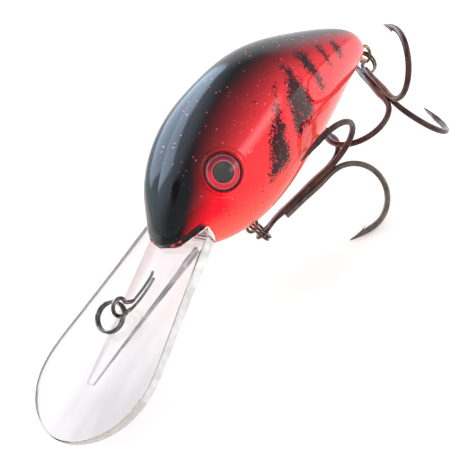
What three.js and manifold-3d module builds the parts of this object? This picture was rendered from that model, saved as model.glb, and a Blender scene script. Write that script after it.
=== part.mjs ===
// Deep-diving crankbait lure, in millimetres: a two-part hollow body with a clear diving lip,
// a line tie, two treble hooks on split rings, eyes, a ballast weight and rattle balls.
// Nose towards -Y, back towards +Z, the fish's left flank towards +X.
// The design frame has its origin on the nose side of the body axis; OFFSET moves the whole
// lure so that the centre of the bottom of its bounding box is the part's origin.
import * as THREE from "three";
import { mergeVertices } from "three/addons/utils/BufferGeometryUtils.js";
import Module from "manifold-3d";

const wasm = await Module();
wasm.setup();
const { degToRad } = THREE.MathUtils;
const vec = (x, y, z) => new THREE.Vector3(x, y, z);
const X_AXIS = vec(1, 0, 0);
const Y_AXIS = vec(0, 1, 0);
const Z_AXIS = vec(0, 0, 1);

const OFFSET = vec(-3.1602, -18.3651, 27.8928);

// ---------------------------------------------------------------- materials
const paint = (color, roughness) =>
  new THREE.MeshStandardMaterial({ color, roughness, metalness: 0 });
const metal = (color, roughness) =>
  new THREE.MeshStandardMaterial({ color, roughness, metalness: 1 });
const clear = ({ color, roughness, opacity }) =>
  new THREE.MeshStandardMaterial({ color, roughness, opacity, metalness: 0, transparent: true });

// paint and metal take a colour and a roughness
const materials = {
  shell: paint(0xc8202c, 0.22),
  lip: clear({ color: 0xf2f1f0, roughness: 0.06, opacity: 0.4 }),
  nickel: metal(0x6f6c68, 0.28),
  bronze: metal(0x8a6a45, 0.3),
  hook: metal(0x3f3430, 0.34),
  iris: paint(0xb41c26, 0.35),
  lens: clear({ color: 0xffffff, roughness: 0.03, opacity: 0.35 }),
  lead: metal(0x6a6c70, 0.6),
  steel: metal(0xb9bbbf, 0.2),
};

// ---------------------------------------------------------------- points and directions
// a point moved by any number of [direction, distance] pairs
const shift = (origin, ...moves) =>
  moves.reduce((point, [way, distance]) => point.addScaledVector(way, distance), origin.clone());
// unit vector nearest to a direction and square to a unit axis
const squareTo = (way, axis) => shift(way, [axis, -way.dot(axis)]).normalize();

// ---------------------------------------------------------------- solids
const MERGE_TOLERANCE = 1e-4;

function solid(geometry) {
  geometry.deleteAttribute("normal");
  geometry.deleteAttribute("uv");
  const merged = mergeVertices(geometry, MERGE_TOLERANCE);
  const index = merged.index.array;
  const corners = []; // three per triangle, collapsed triangles left out
  for (let i = 0; i < index.length; i += 3) {
    const [a, b, c] = index.slice(i, i + 3);
    if (a !== b && b !== c && a !== c) corners.push(a, b, c);
  }
  const build = () => {
    const vertProperties = merged.attributes.position.array;
    const triVerts = new Uint32Array(corners);
    return new wasm.Manifold(new wasm.Mesh({ numProp: 3, vertProperties, triVerts }));
  };
  const built = build();
  if (built.volume() >= 0) return built;
  // reshaping may turn the surface inside out, so every triangle is turned over
  for (let i = 0; i < corners.length; i += 3) {
    [corners[i + 1], corners[i + 2]] = [corners[i + 2], corners[i + 1]];
  }
  return build();
}

// a solid whose vertices are moved by place(vertex), which returns the new point
function shaped(geometry, place) {
  const positions = geometry.attributes.position;
  const vertex = vec(0, 0, 0);
  for (let i = 0; i < positions.count; i++) {
    const { x, y, z } = place(vertex.fromBufferAttribute(positions, i));
    positions.setXYZ(i, x, y, z);
  }
  return solid(geometry);
}

function geometryOf(piece) {
  const mesh = piece.getMesh();
  const geometry = new THREE.BufferGeometry();
  const positions = new Float32Array(mesh.vertProperties);
  geometry.setAttribute("position", new THREE.BufferAttribute(positions, 3));
  geometry.setIndex(new THREE.BufferAttribute(new Uint32Array(mesh.triVerts), 1));
  geometry.computeVertexNormals();
  return geometry;
}

// a box on the middle plane, or moved sideways by x
const box = ({ x = 0, y, z, size }) => solid(new THREE.BoxGeometry(...size).translate(x, y, z));

// a round wire through points; radius is a number or a function of the share of the length
function wire(points, { radius, sides, steps }) {
  const curve = new THREE.CatmullRomCurve3(points, false, "centripetal");
  const { normals, binormals } = curve.computeFrenetFrames(steps, false);
  const radiusAt = typeof radius === "function" ? radius : () => radius;
  return shaped(new THREE.CylinderGeometry(1, 1, 1, sides, steps, false), ({ x, y, z }) => {
    const k = Math.round((0.5 - y) * steps);
    const r = radiusAt(k / steps);
    return shift(curve.getPointAt(k / steps), [normals[k], x * r], [binormals[k], z * r]);
  });
}

const rod = (start, end, radius, sides) =>
  wire([start, start.clone().lerp(end, 0.5), end], { radius, sides, steps: 2 });

// smooth value of an evenly spaced table at a share from 0 to 1
function station(table, share) {
  const last = table.length - 1;
  const place = Math.min(Math.max(share, 0), 1) * last;
  const i = Math.min(Math.floor(place), last - 1);
  const t = place - i;
  const value = (k) => {
    if (k < 0) return 2 * table[0] - table[-k];
    if (k > last) return 2 * table[last] - table[2 * last - k];
    return table[k];
  };
  const [a, b, c, d] = [i - 1, i, i + 1, i + 2].map(value);
  return b + 0.5 * t * (c - a + t * (2 * a - 5 * b + 4 * c - d + t * (3 * (b - c) + d - a)));
}

// ---------------------------------------------------------------- body outline
const BODY_LENGTH = 66;
const WALL = 1.5; // shell thickness
const PARTING_GAP = 0.05; // each half stops this far from the middle plane
const MIN_HALF_SIZE = 0.01; // keeps the sections at the ends from vanishing

// Height of the back, height of the belly and half width, at stations from nose to tail.
// Stations are spaced as a cosine, closer together towards both ends.
const BODY_TOP = [
  -6.66, -3.8, -0.06, 3.98, 7.76, 10.8, 13.06, 14.51, 14.86,
  13.91, 12.19, 10.31, 8.45, 6.61, 4.65, 2.37, -0.41,
];
const BODY_BOTTOM = [
  -6.66, -6.9, -8.28, -10.18, -12.02, -13.26, -13.65, -13.11, -11.81,
  -10.0, -7.95, -5.93, -4.25, -3.11, -2.29, -1.49, -0.41,
];
const BODY_HALF_WIDTH = [
  0, 2.09, 4.64, 7.23, 9.42, 10.83, 11.38, 11.09, 10.25,
  9.15, 7.87, 6.45, 5.05, 3.79, 2.6, 1.37, 0,
];

// The body between two shares of its stations, drawn in by inset.
// It is a reshaped sphere with its poles at the nose and tail ends.
function ovoid({ from, to, inset, bluntness, around, along }) {
  return shaped(new THREE.SphereGeometry(1, around, along), (v) => {
    const t = Math.acos(Math.min(1, Math.max(-1, -v.y))) / Math.PI; // 0 at the nose end
    const share = from + (to - from) * t;
    const y = (BODY_LENGTH * (1 - Math.cos(Math.PI * share))) / 2;
    const top = station(BODY_TOP, share);
    const bottom = station(BODY_BOTTOM, share);
    const middle = (top + bottom) / 2;
    if (Math.hypot(v.x, v.z) < 1e-6) return vec(0, y, middle);
    const halfHeight = Math.max((top - bottom) / 2 - inset, MIN_HALF_SIZE);
    const halfWidth = Math.max(station(BODY_HALF_WIDTH, share) - inset, MIN_HALF_SIZE);
    const angle = Math.atan2(v.z, v.x); // 0 at the left flank, a quarter turn at the back
    const closing = Math.pow(Math.sin(Math.PI * t), bluntness);
    return vec(
      halfWidth * Math.cos(angle) * closing,
      y,
      middle + halfHeight * Math.sin(angle) * closing,
    );
  });
}

// the sections taper by themselves, so no closing is added
const outer = ovoid({ from: 0, to: 1, inset: 0, bluntness: 0, around: 24, along: 18 });
// the hollow closes to a blunt end at both poles
const hollow = ovoid({
  from: 0.2, to: 0.895, inset: WALL, bluntness: 0.45, around: 16, along: 12,
});

// ---------------------------------------------------------------- diving lip
// A plate sloping down and forwards from the chin. Its own frame has x across,
// "along" from root to tip, and "up" square to its top face.
const LIP_SLOPE = degToRad(22.6);
const LIP_ROOT = vec(0, 4.425, -5.66); // middle of the top face where it leaves the head
const LIP_LENGTH = 40.1;
const LIP_HALF = [8.17, 10.14, 12.18, 13.41, 11.18, 5.98, 0]; // half widths, root to tip
const LIP_TIP_HALF = 0.35; // replaces the last half width
const LIP_THICK_ROOT = 2.3;
const LIP_THICK_TIP = 1.3;
const LIP_GAP = 0.2;
const TANG_LENGTH = 9; // part of the lip held inside the head
const TANG_HALF = 5.2;
const TANG_OVERLAP = 2; // reach into the plate
const RIB_START = 2.2; // the spine under the plate, wide at the root
const RIB_END = 30;
const RIB_HALF_ROOT = 6.2;
const RIB_HALF_END = 1.2;
const RIB_DEPTH_ROOT = 2.2;
const RIB_DEPTH_END = 0.25;
const RIB_SINK = 0.3; // overlap with the plate
const RIB_LOW_SHARE = 0.8; // width of the rib's underside against its top
const MOUTH = { half: 14, from: -1.2, to: 12, top: LIP_GAP, bottom: -14 };

const lipAlong = vec(0, -Math.cos(LIP_SLOPE), -Math.sin(LIP_SLOPE));
const lipUp = vec(0, -Math.sin(LIP_SLOPE), Math.cos(LIP_SLOPE));
const lipPoint = (x, along, up) => shift(LIP_ROOT, [lipAlong, along], [lipUp, up], [X_AXIS, x]);
const lipThickness = (along) =>
  LIP_THICK_ROOT + (LIP_THICK_TIP - LIP_THICK_ROOT) * (along / LIP_LENGTH);

function lipPlate() {
  return shaped(new THREE.BoxGeometry(2, 2, 1, 6, 1, 14), (v) => {
    const t = v.z + 0.5; // 0 root, 1 tip
    const along = LIP_LENGTH * Math.sin((Math.PI / 2) * t);
    const half = t > 0.999 ? LIP_TIP_HALF : station(LIP_HALF, t);
    return lipPoint(v.x * half, along, v.y > 0 ? 0 : -lipThickness(along));
  });
}

// a straight block in the lip's frame
function lipBlock({ half, from, to, top, bottom }) {
  return shaped(new THREE.BoxGeometry(1, 1, 1), (v) =>
    lipPoint(Math.sign(v.x) * half, v.z > 0 ? to : from, v.y > 0 ? top : bottom),
  );
}

const lipTang = (gap = 0) =>
  lipBlock({
    half: TANG_HALF + gap,
    from: -TANG_LENGTH - gap,
    to: TANG_OVERLAP,
    top: gap,
    bottom: -LIP_THICK_ROOT - gap,
  });

function lipRib() {
  const root = { along: RIB_START, half: RIB_HALF_ROOT, depth: RIB_DEPTH_ROOT };
  root.thickness = LIP_THICK_ROOT;
  const end = { along: RIB_END, half: RIB_HALF_END, depth: RIB_DEPTH_END };
  end.thickness = lipThickness(RIB_END);
  return shaped(new THREE.BoxGeometry(1, 1, 1), (v) => {
    const { along, half, depth, thickness } = v.z > 0 ? end : root;
    const taper = v.y > 0 ? 1 : RIB_LOW_SHARE;
    const up = v.y > 0 ? -thickness + RIB_SINK : -thickness - depth;
    return lipPoint(Math.sign(v.x) * half * taper, along, up);
  });
}

const divingLip = () => lipPlate().add(lipTang()).add(lipRib()).subtract(lineTieChannel());

// ---------------------------------------------------------------- line tie
// one bent wire: a leg in the lip, the eye above it, and a second leg back into the lip
const TIE_WIRE_R = 0.31;
const TIE_EYE_R = 1.48; // to the middle of the wire
const TIE_EYE_AT = 17.0; // along the lip from its root
const TIE_EYE_RISE = 1.95; // above the top face
const TIE_EYE_STEPS = 12;
const TIE_EYE_START = 205; // degrees
const TIE_EYE_SWEEP = -300;
const TIE_EYE_SIDE = 0.36; // the eye's two ends lie this far either side of the middle
const TIE_CHANNEL_GAP = 0.16;
// legs in the lip's frame: across, along, up
const TIE_RIGHT_LEG = [
  [-0.45, 8.6, -1.35], [-0.5, 8.9, -1.8], [-0.42, 10.2, -1.7],
  [-0.4, 12.6, -1.05], [-0.38, 14.6, -0.1],
];
const TIE_LEFT_LEG = [
  [0.4, 14.9, -0.75], [0.4, 12.9, -1.55], [0.42, 10.9, -1.85], [0.45, 9.6, -1.8],
];
const tieEye = lipPoint(0, TIE_EYE_AT, TIE_EYE_RISE);

function tiePath() {
  const eye = [];
  for (let k = 0; k <= TIE_EYE_STEPS; k++) {
    const share = k / TIE_EYE_STEPS;
    const angle = degToRad(TIE_EYE_START + share * TIE_EYE_SWEEP);
    eye.push([
      TIE_EYE_SIDE * (2 * share - 1),
      TIE_EYE_AT + TIE_EYE_R * Math.cos(angle),
      TIE_EYE_RISE + TIE_EYE_R * Math.sin(angle),
    ]);
  }
  return [...TIE_RIGHT_LEG, ...eye, ...TIE_LEFT_LEG].map((point) => lipPoint(...point));
}

const lineTie = (radius = TIE_WIRE_R) => wire(tiePath(), { radius, sides: 6, steps: 48 });

// room for the wire in the lip, with a small ball at each end
function lineTieChannel() {
  const radius = TIE_WIRE_R + TIE_CHANNEL_GAP;
  const path = tiePath();
  let channel = lineTie(radius);
  for (const { x, y, z } of [path[0], path.at(-1)]) {
    channel = channel.add(solid(new THREE.SphereGeometry(radius * 1.1, 8, 6).translate(x, y, z)));
  }
  return channel;
}

// ---------------------------------------------------------------- split rings
const RING_R = 2.6;
const RING_WIRE_R = 0.3;
const RING_PITCH = 0.66;
const RING_TURNS = 1.94;
const RING_STEPS = 44;

// the ring on the line tie passes through its eye and leans forwards over the lip
const TIE_RING_OVERLAP = 0.3; // the eye's middle lies this far inside the ring's wire circle
const tieRingNormal = vec(0.25, -0.6, 0.76).normalize();
const tieRingWay = squareTo(vec(-0.53, -0.74, -0.42), tieRingNormal);
// phase: angle of the wire's first end about the normal, in radians
const TIE_RING = {
  centre: shift(tieEye, [tieRingWay, RING_R - TIE_RING_OVERLAP]),
  normal: tieRingNormal,
  phase: 0.6,
};
const BELLY_RING = {
  centre: vec(0.34, 21.92, -17.18),
  normal: vec(-0.445, -0.772, -0.454).normalize(),
  phase: 2.0,
};
const TAIL_RING = {
  centre: vec(-1.25, 67.5, -4.35),
  normal: vec(0.05, -0.99, -0.1).normalize(),
  phase: 2.0,
};

// a coil of nearly two turns
function splitRing({ centre, normal, phase }) {
  const across = squareTo(X_AXIS, normal);
  const other = normal.clone().cross(across);
  const points = [];
  for (let i = 0; i <= RING_STEPS; i++) {
    const share = i / RING_STEPS;
    const angle = phase + RING_TURNS * 2 * Math.PI * share;
    points.push(shift(
      centre,
      [across, RING_R * Math.cos(angle)],
      [other, RING_R * Math.sin(angle)],
      [normal, (share - 0.5) * RING_PITCH * RING_TURNS],
    ));
  }
  return wire(points, { radius: RING_WIRE_R, sides: 6, steps: RING_STEPS });
}

// ---------------------------------------------------------------- treble hooks
// Size 2. Each hook's frame starts at the eye's middle, with "shank" along the shank and
// "bend" square to it, towards the point's side.
const HOOK_SHANK = 18.2; // from the eye's middle to the start of the bend
const HOOK_STRAIGHT = HOOK_SHANK * 0.55; // the shank is straight up to here
const HOOK_SINGLE_START = 5.4; // where the single hook's shank begins
const HOOK_GAPE = 13.7;
const HOOK_BEND = 6.8;
const HOOK_BEND_STEPS = 10;
const HOOK_POINT = 6.6;
const HOOK_POINT_IN = 1.4;
const HOOK_WIRE_R = 0.6;
const HOOK_TIP_SHARE = 0.06; // radius of the tip against the wire's
const HOOK_SPREAD = 0.76; // each shank's distance from the bundle's middle
const HOOK_EYE_R = 1.6;
const HOOK_EYE_WIRE_R = 0.45;
const HOOK_EYE_STEPS = 12;
const HOOK_EYE_START = 40; // degrees, from the shank's direction
const HOOK_EYE_SWEEP = 280;
const HOOK_NECK = [5.0, 3.2]; // distances from the eye's middle where the wire closes in
const SINGLE_TAPER_SHARE = 0.1; // share of the single hook's length that tapers
const DOUBLE_TAPER = 4.2; // length of the double hook's tapered ends
const EYE_WIRE_REACH = 5; // the wire is thin this far either side of the eye's middle
const EYE_WIRE_BLEND = 3; // and thickens over this length
const BARB = { radius: 0.34, length: 1.7, inset: 0.42, lean: 0.42 };

// bends: the single hook's, then the double hook's two; roll is about the shank, in degrees
const BELLY_TREBLE = {
  eye: vec(-0.51, 23.64, -19.04),
  shank: vec(0.331, 0.906, 0.264).normalize(),
  bends: [vec(0.462, 0.088, -0.882), vec(0.481, -0.403, 0.779), vec(-0.944, 0.314, 0.104)],
  roll: 0,
};
const TAIL_TREBLE = {
  eye: vec(-3.3, 67.4, -4.2),
  shank: vec(0.789, -0.588, -0.179).normalize(),
  bends: [vec(0.282, 0.087, 0.956), vec(0.333, 0.652, -0.681), vec(-0.614, -0.74, -0.275)],
  roll: -3,
};

// from the end of the straight shank, round the bend, to the point
function hookPath(eye, shank, bend) {
  const at = (along, out) => shift(eye, [shank, along], [bend, out]);
  const points = [at(HOOK_STRAIGHT, HOOK_SPREAD), at(HOOK_SHANK * 0.8, HOOK_SPREAD + 0.12)];
  for (let k = 0; k <= HOOK_BEND_STEPS; k++) {
    const rest = 1 - k / HOOK_BEND_STEPS;
    const angle = Math.PI * rest;
    points.push(at(
      HOOK_SHANK - 0.2 * rest ** 2 + HOOK_BEND * Math.sin(angle),
      HOOK_SPREAD + (HOOK_GAPE / 2) * (1 + Math.cos(angle)),
    ));
  }
  for (const share of [0.33, 0.66, 1]) {
    const inward = HOOK_POINT_IN * Math.pow(share, 1.4);
    points.push(at(HOOK_SHANK - HOOK_POINT * share, HOOK_SPREAD + HOOK_GAPE - inward));
  }
  return points;
}

// a small cone on the point's inner side, aimed back towards the bend
function barb(eye, shank, bend) {
  const out = HOOK_SPREAD + HOOK_GAPE - HOOK_POINT_IN * 0.3 - BARB.inset;
  const { x, y, z } = shift(eye, [shank, HOOK_SHANK - HOOK_POINT * 0.42], [bend, out]);
  const axis = shift(shank, [bend, -BARB.lean]).normalize();
  const cone = new THREE.ConeGeometry(BARB.radius, BARB.length, 5, 1, false);
  cone.applyQuaternion(new THREE.Quaternion().setFromUnitVectors(Y_AXIS, axis));
  return solid(cone.translate(x, y, z));
}

function singleHook(eye, shank, bend) {
  const starts = [HOOK_SINGLE_START, (HOOK_SINGLE_START + HOOK_STRAIGHT) / 2];
  const straight = starts.map((along) => shift(eye, [shank, along], [bend, HOOK_SPREAD]));
  const radius = (share) => {
    const taper = (1 - share) / SINGLE_TAPER_SHARE;
    return HOOK_WIRE_R * Math.min(1, Math.max(HOOK_TIP_SHARE, taper));
  };
  const points = [...straight, ...hookPath(eye, shank, bend)];
  return wire(points, { radius, sides: 6, steps: 34 }).add(barb(eye, shank, bend));
}

// The wire between the double hook's two shanks. The eye's plane holds the shank axis
// and the line across the two shanks.
function hookEyePath(eye, shank, bendOne, bendTwo) {
  const across = bendOne.clone().sub(bendTwo).normalize();
  const between = bendOne.clone().add(bendTwo).normalize();
  const back = HOOK_SPREAD * 0.5;
  const side = HOOK_SPREAD * Math.sin(Math.PI / 3);
  const at = (along, aside, out) => shift(eye, [shank, along], [across, aside], [between, out]);
  const [far, near] = HOOK_NECK;
  const points = [at(far, side, back), at(near, side, back * 0.9)];
  for (let k = 0; k <= HOOK_EYE_STEPS; k++) {
    const angle = degToRad(HOOK_EYE_START + (k / HOOK_EYE_STEPS) * HOOK_EYE_SWEEP);
    points.push(at(
      HOOK_EYE_R * Math.cos(angle),
      HOOK_EYE_R * Math.sin(angle),
      back * 0.25 * Math.abs(Math.cos(angle / 2)),
    ));
  }
  points.push(at(near, -side, back * 0.9), at(far, -side, back));
  return points;
}

// one wire from point to point, with the eye in its middle
function doubleHook(eye, shank, bendOne, bendTwo) {
  const points = [
    ...hookPath(eye, shank, bendOne).reverse(),
    ...hookEyePath(eye, shank, bendOne, bendTwo),
    ...hookPath(eye, shank, bendTwo),
  ];
  const total = new THREE.CatmullRomCurve3(points, false, "centripetal").getLength();
  const radius = (share) => {
    const fromEnd = Math.min(share, 1 - share) * total;
    const fromMiddle = Math.abs(share - 0.5) * total;
    const blend = Math.min(1, Math.max(0, (fromMiddle - EYE_WIRE_REACH) / EYE_WIRE_BLEND));
    const taper = Math.min(1, Math.max(HOOK_TIP_SHARE, fromEnd / DOUBLE_TAPER));
    return (HOOK_EYE_WIRE_R + (HOOK_WIRE_R - HOOK_EYE_WIRE_R) * blend) * taper;
  };
  return wire(points, { radius, sides: 6, steps: 92 })
    .add(barb(eye, shank, bendOne))
    .add(barb(eye, shank, bendTwo));
}

// ---------------------------------------------------------------- hangers
// an outer eye, a neck and an inner anchor eye, all in the middle plane
const HANGER_EYE_R = 1.6;
const HANGER_ANCHOR_R = 1.2;
const HANGER_LENGTH = 5.2; // between the middles of the two eyes
const HANGER_WIRE_R = 0.42;
const HANGER_NECK_R = HANGER_WIRE_R * 1.3;
const HANGER_GAP = 0.2;
const BELLY_HANGER = { eye: vec(0, 20.9, -15.3), inward: vec(0, 0.05, 1).normalize() };
const TAIL_HANGER = { eye: vec(0, 67.1, -2.1), inward: vec(0, -1, 0.12).normalize() };

// a torus lying in the middle plane
function middleTorus(centre, radius, wireRadius, around) {
  const frame = new THREE.Matrix4().makeBasis(Z_AXIS, vec(0, -1, 0), X_AXIS).setPosition(centre);
  return solid(new THREE.TorusGeometry(radius, wireRadius, 6, around).applyMatrix4(frame));
}

function hanger({ eye, inward }, gap = 0) {
  const anchor = shift(eye, [inward, HANGER_LENGTH]);
  const neckStart = shift(eye, [inward, HANGER_EYE_R]);
  const neckEnd = shift(anchor, [inward, -HANGER_ANCHOR_R]);
  return middleTorus(eye, HANGER_EYE_R, HANGER_WIRE_R + gap, 20)
    .add(middleTorus(anchor, HANGER_ANCHOR_R, HANGER_WIRE_R + gap, 12))
    .add(rod(neckStart, neckEnd, HANGER_NECK_R + gap, 6));
}

// ---------------------------------------------------------------- eyes
const EYE_AT = vec(9.28, 11.46, 2.36); // the left eye's middle
const EYE_NORMAL = vec(0.867, -0.368, 0.337).normalize();
const EYE_RIM_R = 3.95;
const EYE_SOCKET_R = 3.42;
const EYE_BOSS_R = EYE_SOCKET_R + 1.1;
const EYE_DISC_R = 3.2;
const EYE_CUT_TOP = 1.5; // the socket and boss reach this far out of the skin

// Profiles are [radius, height]; heights are measured outwards from the skin at the eye's middle.
const discProfile = (radius, low, high) => [[0, low], [radius, low], [radius, high], [0, high]];
const RIM_PROFILE = [
  [0, -1.6], [EYE_RIM_R + 0.35, -1.6], [EYE_RIM_R + 0.2, -0.75],
  [EYE_RIM_R - 0.1, -0.25], [EYE_RIM_R - 0.35, -0.15], [0, -0.15],
];
const LENS_PROFILE = [
  [0, -0.4], [EYE_DISC_R, -0.4], [EYE_DISC_R, -0.22], [EYE_DISC_R * 0.93, -0.02],
  [EYE_DISC_R * 0.72, 0.26], [EYE_DISC_R * 0.4, 0.46], [0, 0.54],
];

// a profile turned about the eye's axis; side is 1 for the left eye, -1 for the right
function turned(profile, side, segments = 20) {
  const mirror = vec(side, 1, 1);
  const { x, y, z } = EYE_AT.clone().multiply(mirror);
  const normal = EYE_NORMAL.clone().multiply(mirror);
  const lathe = new THREE.LatheGeometry(profile.map((p) => new THREE.Vector2(...p)), segments);
  lathe.applyQuaternion(new THREE.Quaternion().setFromUnitVectors(Y_AXIS, normal));
  return solid(lathe.translate(x, y, z));
}
const eyeRim = (side) => turned(RIM_PROFILE, side);
const eyeSocket = (side) => turned(discProfile(EYE_SOCKET_R, -1.15, EYE_CUT_TOP), side);
const eyeBoss = (side) => turned(discProfile(EYE_BOSS_R, -2.6, EYE_CUT_TOP), side, 16);
const irisDisc = (side) => turned(discProfile(EYE_DISC_R, -0.95, -0.62), side);
const lensDome = (side) => turned(LENS_PROFILE, side);

// ---------------------------------------------------------------- ballast and rattle balls
const BALLAST = { radius: 2.0, straight: 5.4, y: 29.2, z: -8.0 };
const BALLAST_GAP = 0.25;
const CRADLE_FROM_MIDDLE = 2.4; // each cradle's distance from the ballast's middle
const BALL_R = 2.2;
const BALL_PITCH = 5.2;
const BALL_LANES = [0, 1, 2].map((i) => 33.0 + i * BALL_PITCH); // y of each ball
const BALL_Z = 1.2;

// a capsule lying along the body
function ballast(gap = 0) {
  const capsule = new THREE.CapsuleGeometry(BALLAST.radius + gap, BALLAST.straight, 4, 12);
  return solid(capsule.translate(0, BALLAST.y, BALLAST.z));
}
const rattleBall = (y) => solid(new THREE.SphereGeometry(BALL_R, 10, 7).translate(0, y, BALL_Z));

// ---------------------------------------------------------------- body halves
const RIB_WIDTH = 30; // wider than the hollow
const CHAMBER_WALL = 1;
const CHAMBER_END_GAP = 0.45;
const CHAMBER_SIDE_GAP = 0.4;
const HALF_BOX = [40, 90, 60];
const PEG_PLACES = [[12.6, 3.6], [49.8, 6.4]]; // y, z
const PEG_BOSS_R = 1.9;
const PEG_BOSS_REACH = 20; // beyond the skin, then trimmed to it
const PEG = { radius: 0.9, left: 1.2, right: -2.2 }; // x of its two ends
const PEG_SOCKET = { radius: 1.15, left: 0.5, right: -2.6 };

// blocks that stay as material inside the body: y, z, then full sizes in x, y, z
function innerBlocks() {
  const front = BALL_LANES[0] - BALL_R - CHAMBER_END_GAP;
  const rear = BALL_LANES[2] + BALL_R + CHAMBER_END_GAP;
  const low = BALL_Z - BALL_R - CHAMBER_SIDE_GAP;
  const high = BALL_Z + BALL_R + CHAMBER_SIDE_GAP;
  const wall = CHAMBER_WALL;
  const middle = (front + rear) / 2;
  const length = rear - front + 2 * wall;
  const height = high - low + 2 * wall;
  const divider = [BALL_Z - 1.5, RIB_WIDTH, 0.5, 2.4];
  return [
    // cradles for the ballast
    [BALLAST.y - CRADLE_FROM_MIDDLE, -9.6, RIB_WIDTH, 1.2, 6],
    [BALLAST.y + CRADLE_FROM_MIDDLE, -9.4, RIB_WIDTH, 1.2, 6],
    // floor, roof, front and rear walls of the rattle chamber
    [middle, low - wall / 2, RIB_WIDTH, length, wall],
    [middle, high + wall / 2, RIB_WIDTH, length, wall],
    [front - wall / 2, BALL_Z, RIB_WIDTH, wall, height],
    [rear + wall / 2, BALL_Z, RIB_WIDTH, wall, height],
    // low dividers between the balls
    [BALL_LANES[0] + BALL_PITCH / 2, ...divider],
    [BALL_LANES[1] + BALL_PITCH / 2, ...divider],
    // belly hanger boss, tail hanger boss, and an upright block in the lower head
    [21.3, -11, 5, 5, 9],
    [61, 0, 5, 7, 14],
    [14.2, -8, 13, 1.4, 14],
  ].map(([y, z, ...size]) => box({ y, z, size }));
}

function wholeBody() {
  let cavity = hollow;
  for (const kept of [eyeBoss(1), eyeBoss(-1), ...innerBlocks()]) cavity = cavity.subtract(kept);
  let body = outer;
  for (const side of [1, -1]) body = body.add(eyeRim(side).subtract(hollow));
  const cuts = [
    cavity,
    eyeSocket(1),
    eyeSocket(-1),
    lipBlock(MOUTH), // clears the body ahead of the chin, below the lip's top face
    lipTang(LIP_GAP),
    ballast(BALLAST_GAP),
    hanger(BELLY_HANGER, HANGER_GAP),
    hanger(TAIL_HANGER, HANGER_GAP),
  ];
  for (const cut of cuts) body = body.subtract(cut);
  return body;
}

// half of the body, with locating pegs on the left half and their sockets in the right
function bodyHalf(body, side) {
  const x = side * (HALF_BOX[0] / 2 + PARTING_GAP);
  let shell = body.intersect(box({ x, y: BODY_LENGTH / 2, z: 0, size: HALF_BOX }));
  const eyeSockets = eyeSocket(1).add(eyeSocket(-1));
  for (const [y, z] of PEG_PLACES) {
    const crossRod = (start, end, radius) => rod(vec(start, y, z), vec(end, y, z), radius, 10);
    const boss = crossRod(side * PARTING_GAP, side * PEG_BOSS_REACH, PEG_BOSS_R);
    shell = shell.add(boss.intersect(outer).subtract(eyeSockets));
    shell = side > 0
      ? shell.add(crossRod(PEG.left, PEG.right, PEG.radius))
      : shell.subtract(crossRod(PEG_SOCKET.left, PEG_SOCKET.right, PEG_SOCKET.radius));
  }
  return shell;
}

// ---------------------------------------------------------------- assembly
const root = new THREE.Group();
const lure = new THREE.Group();
lure.position.copy(OFFSET);
root.add(lure);

// origin, if given, becomes the mesh's own origin
function add(name, piece, material, origin = vec(0, 0, 0)) {
  const geometry = geometryOf(piece).translate(-origin.x, -origin.y, -origin.z);
  const mesh = new THREE.Mesh(geometry, material);
  mesh.position.copy(origin);
  mesh.name = name;
  lure.add(mesh);
}

function addTreble(name, { eye, shank, bends, roll }) {
  const [single, doubleOne, doubleTwo] = bends.map((bend) =>
    squareTo(bend, shank).applyAxisAngle(shank, degToRad(roll)),
  );
  const double = doubleHook(eye, shank, doubleOne, doubleTwo);
  add(`${name}_double_hook`, double, materials.hook, eye);
  add(`${name}_single_hook`, singleHook(eye, shank, single), materials.hook, eye);
}

const body = wholeBody();
add("left_body_shell", bodyHalf(body, 1), materials.shell);
add("right_body_shell", bodyHalf(body, -1), materials.shell);
add("diving_lip", divingLip(), materials.lip);
add("line_tie_wire", lineTie(), materials.nickel, tieEye);
add("line_tie_split_ring", splitRing(TIE_RING), materials.nickel, TIE_RING.centre);
add("belly_hanger", hanger(BELLY_HANGER), materials.bronze, BELLY_HANGER.eye);
add("tail_hanger", hanger(TAIL_HANGER), materials.bronze, TAIL_HANGER.eye);
add("belly_split_ring", splitRing(BELLY_RING), materials.nickel, BELLY_RING.centre);
addTreble("belly_treble", BELLY_TREBLE);
add("tail_split_ring", splitRing(TAIL_RING), materials.bronze, TAIL_RING.centre);
addTreble("tail_treble", TAIL_TREBLE);
for (const [label, side] of [["left", 1], ["right", -1]]) {
  add(`${label}_eye_iris`, irisDisc(side), materials.iris);
  add(`${label}_eye_lens`, lensDome(side), materials.lens);
}
add("ballast_weight", ballast(), materials.lead);
BALL_LANES.forEach((y, i) => add(`rattle_ball_${i + 1}`, rattleBall(y), materials.steel));

export default root;
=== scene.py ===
"""A diving fishing lure in crayfish paint: hollow two-part body with rattle balls and a ballast
weight, clear lip, line tie, three split rings and two treble hooks.

It is drawn in design millimetres: the nose is at y = 0 and the tail towards +Y, the back is up
(+Z) and the left flank is towards +X. to_frame() moves these points to the frame in metres.
"""
import bpy
import math
import numpy as np
from mathutils import Matrix, Vector


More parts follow.
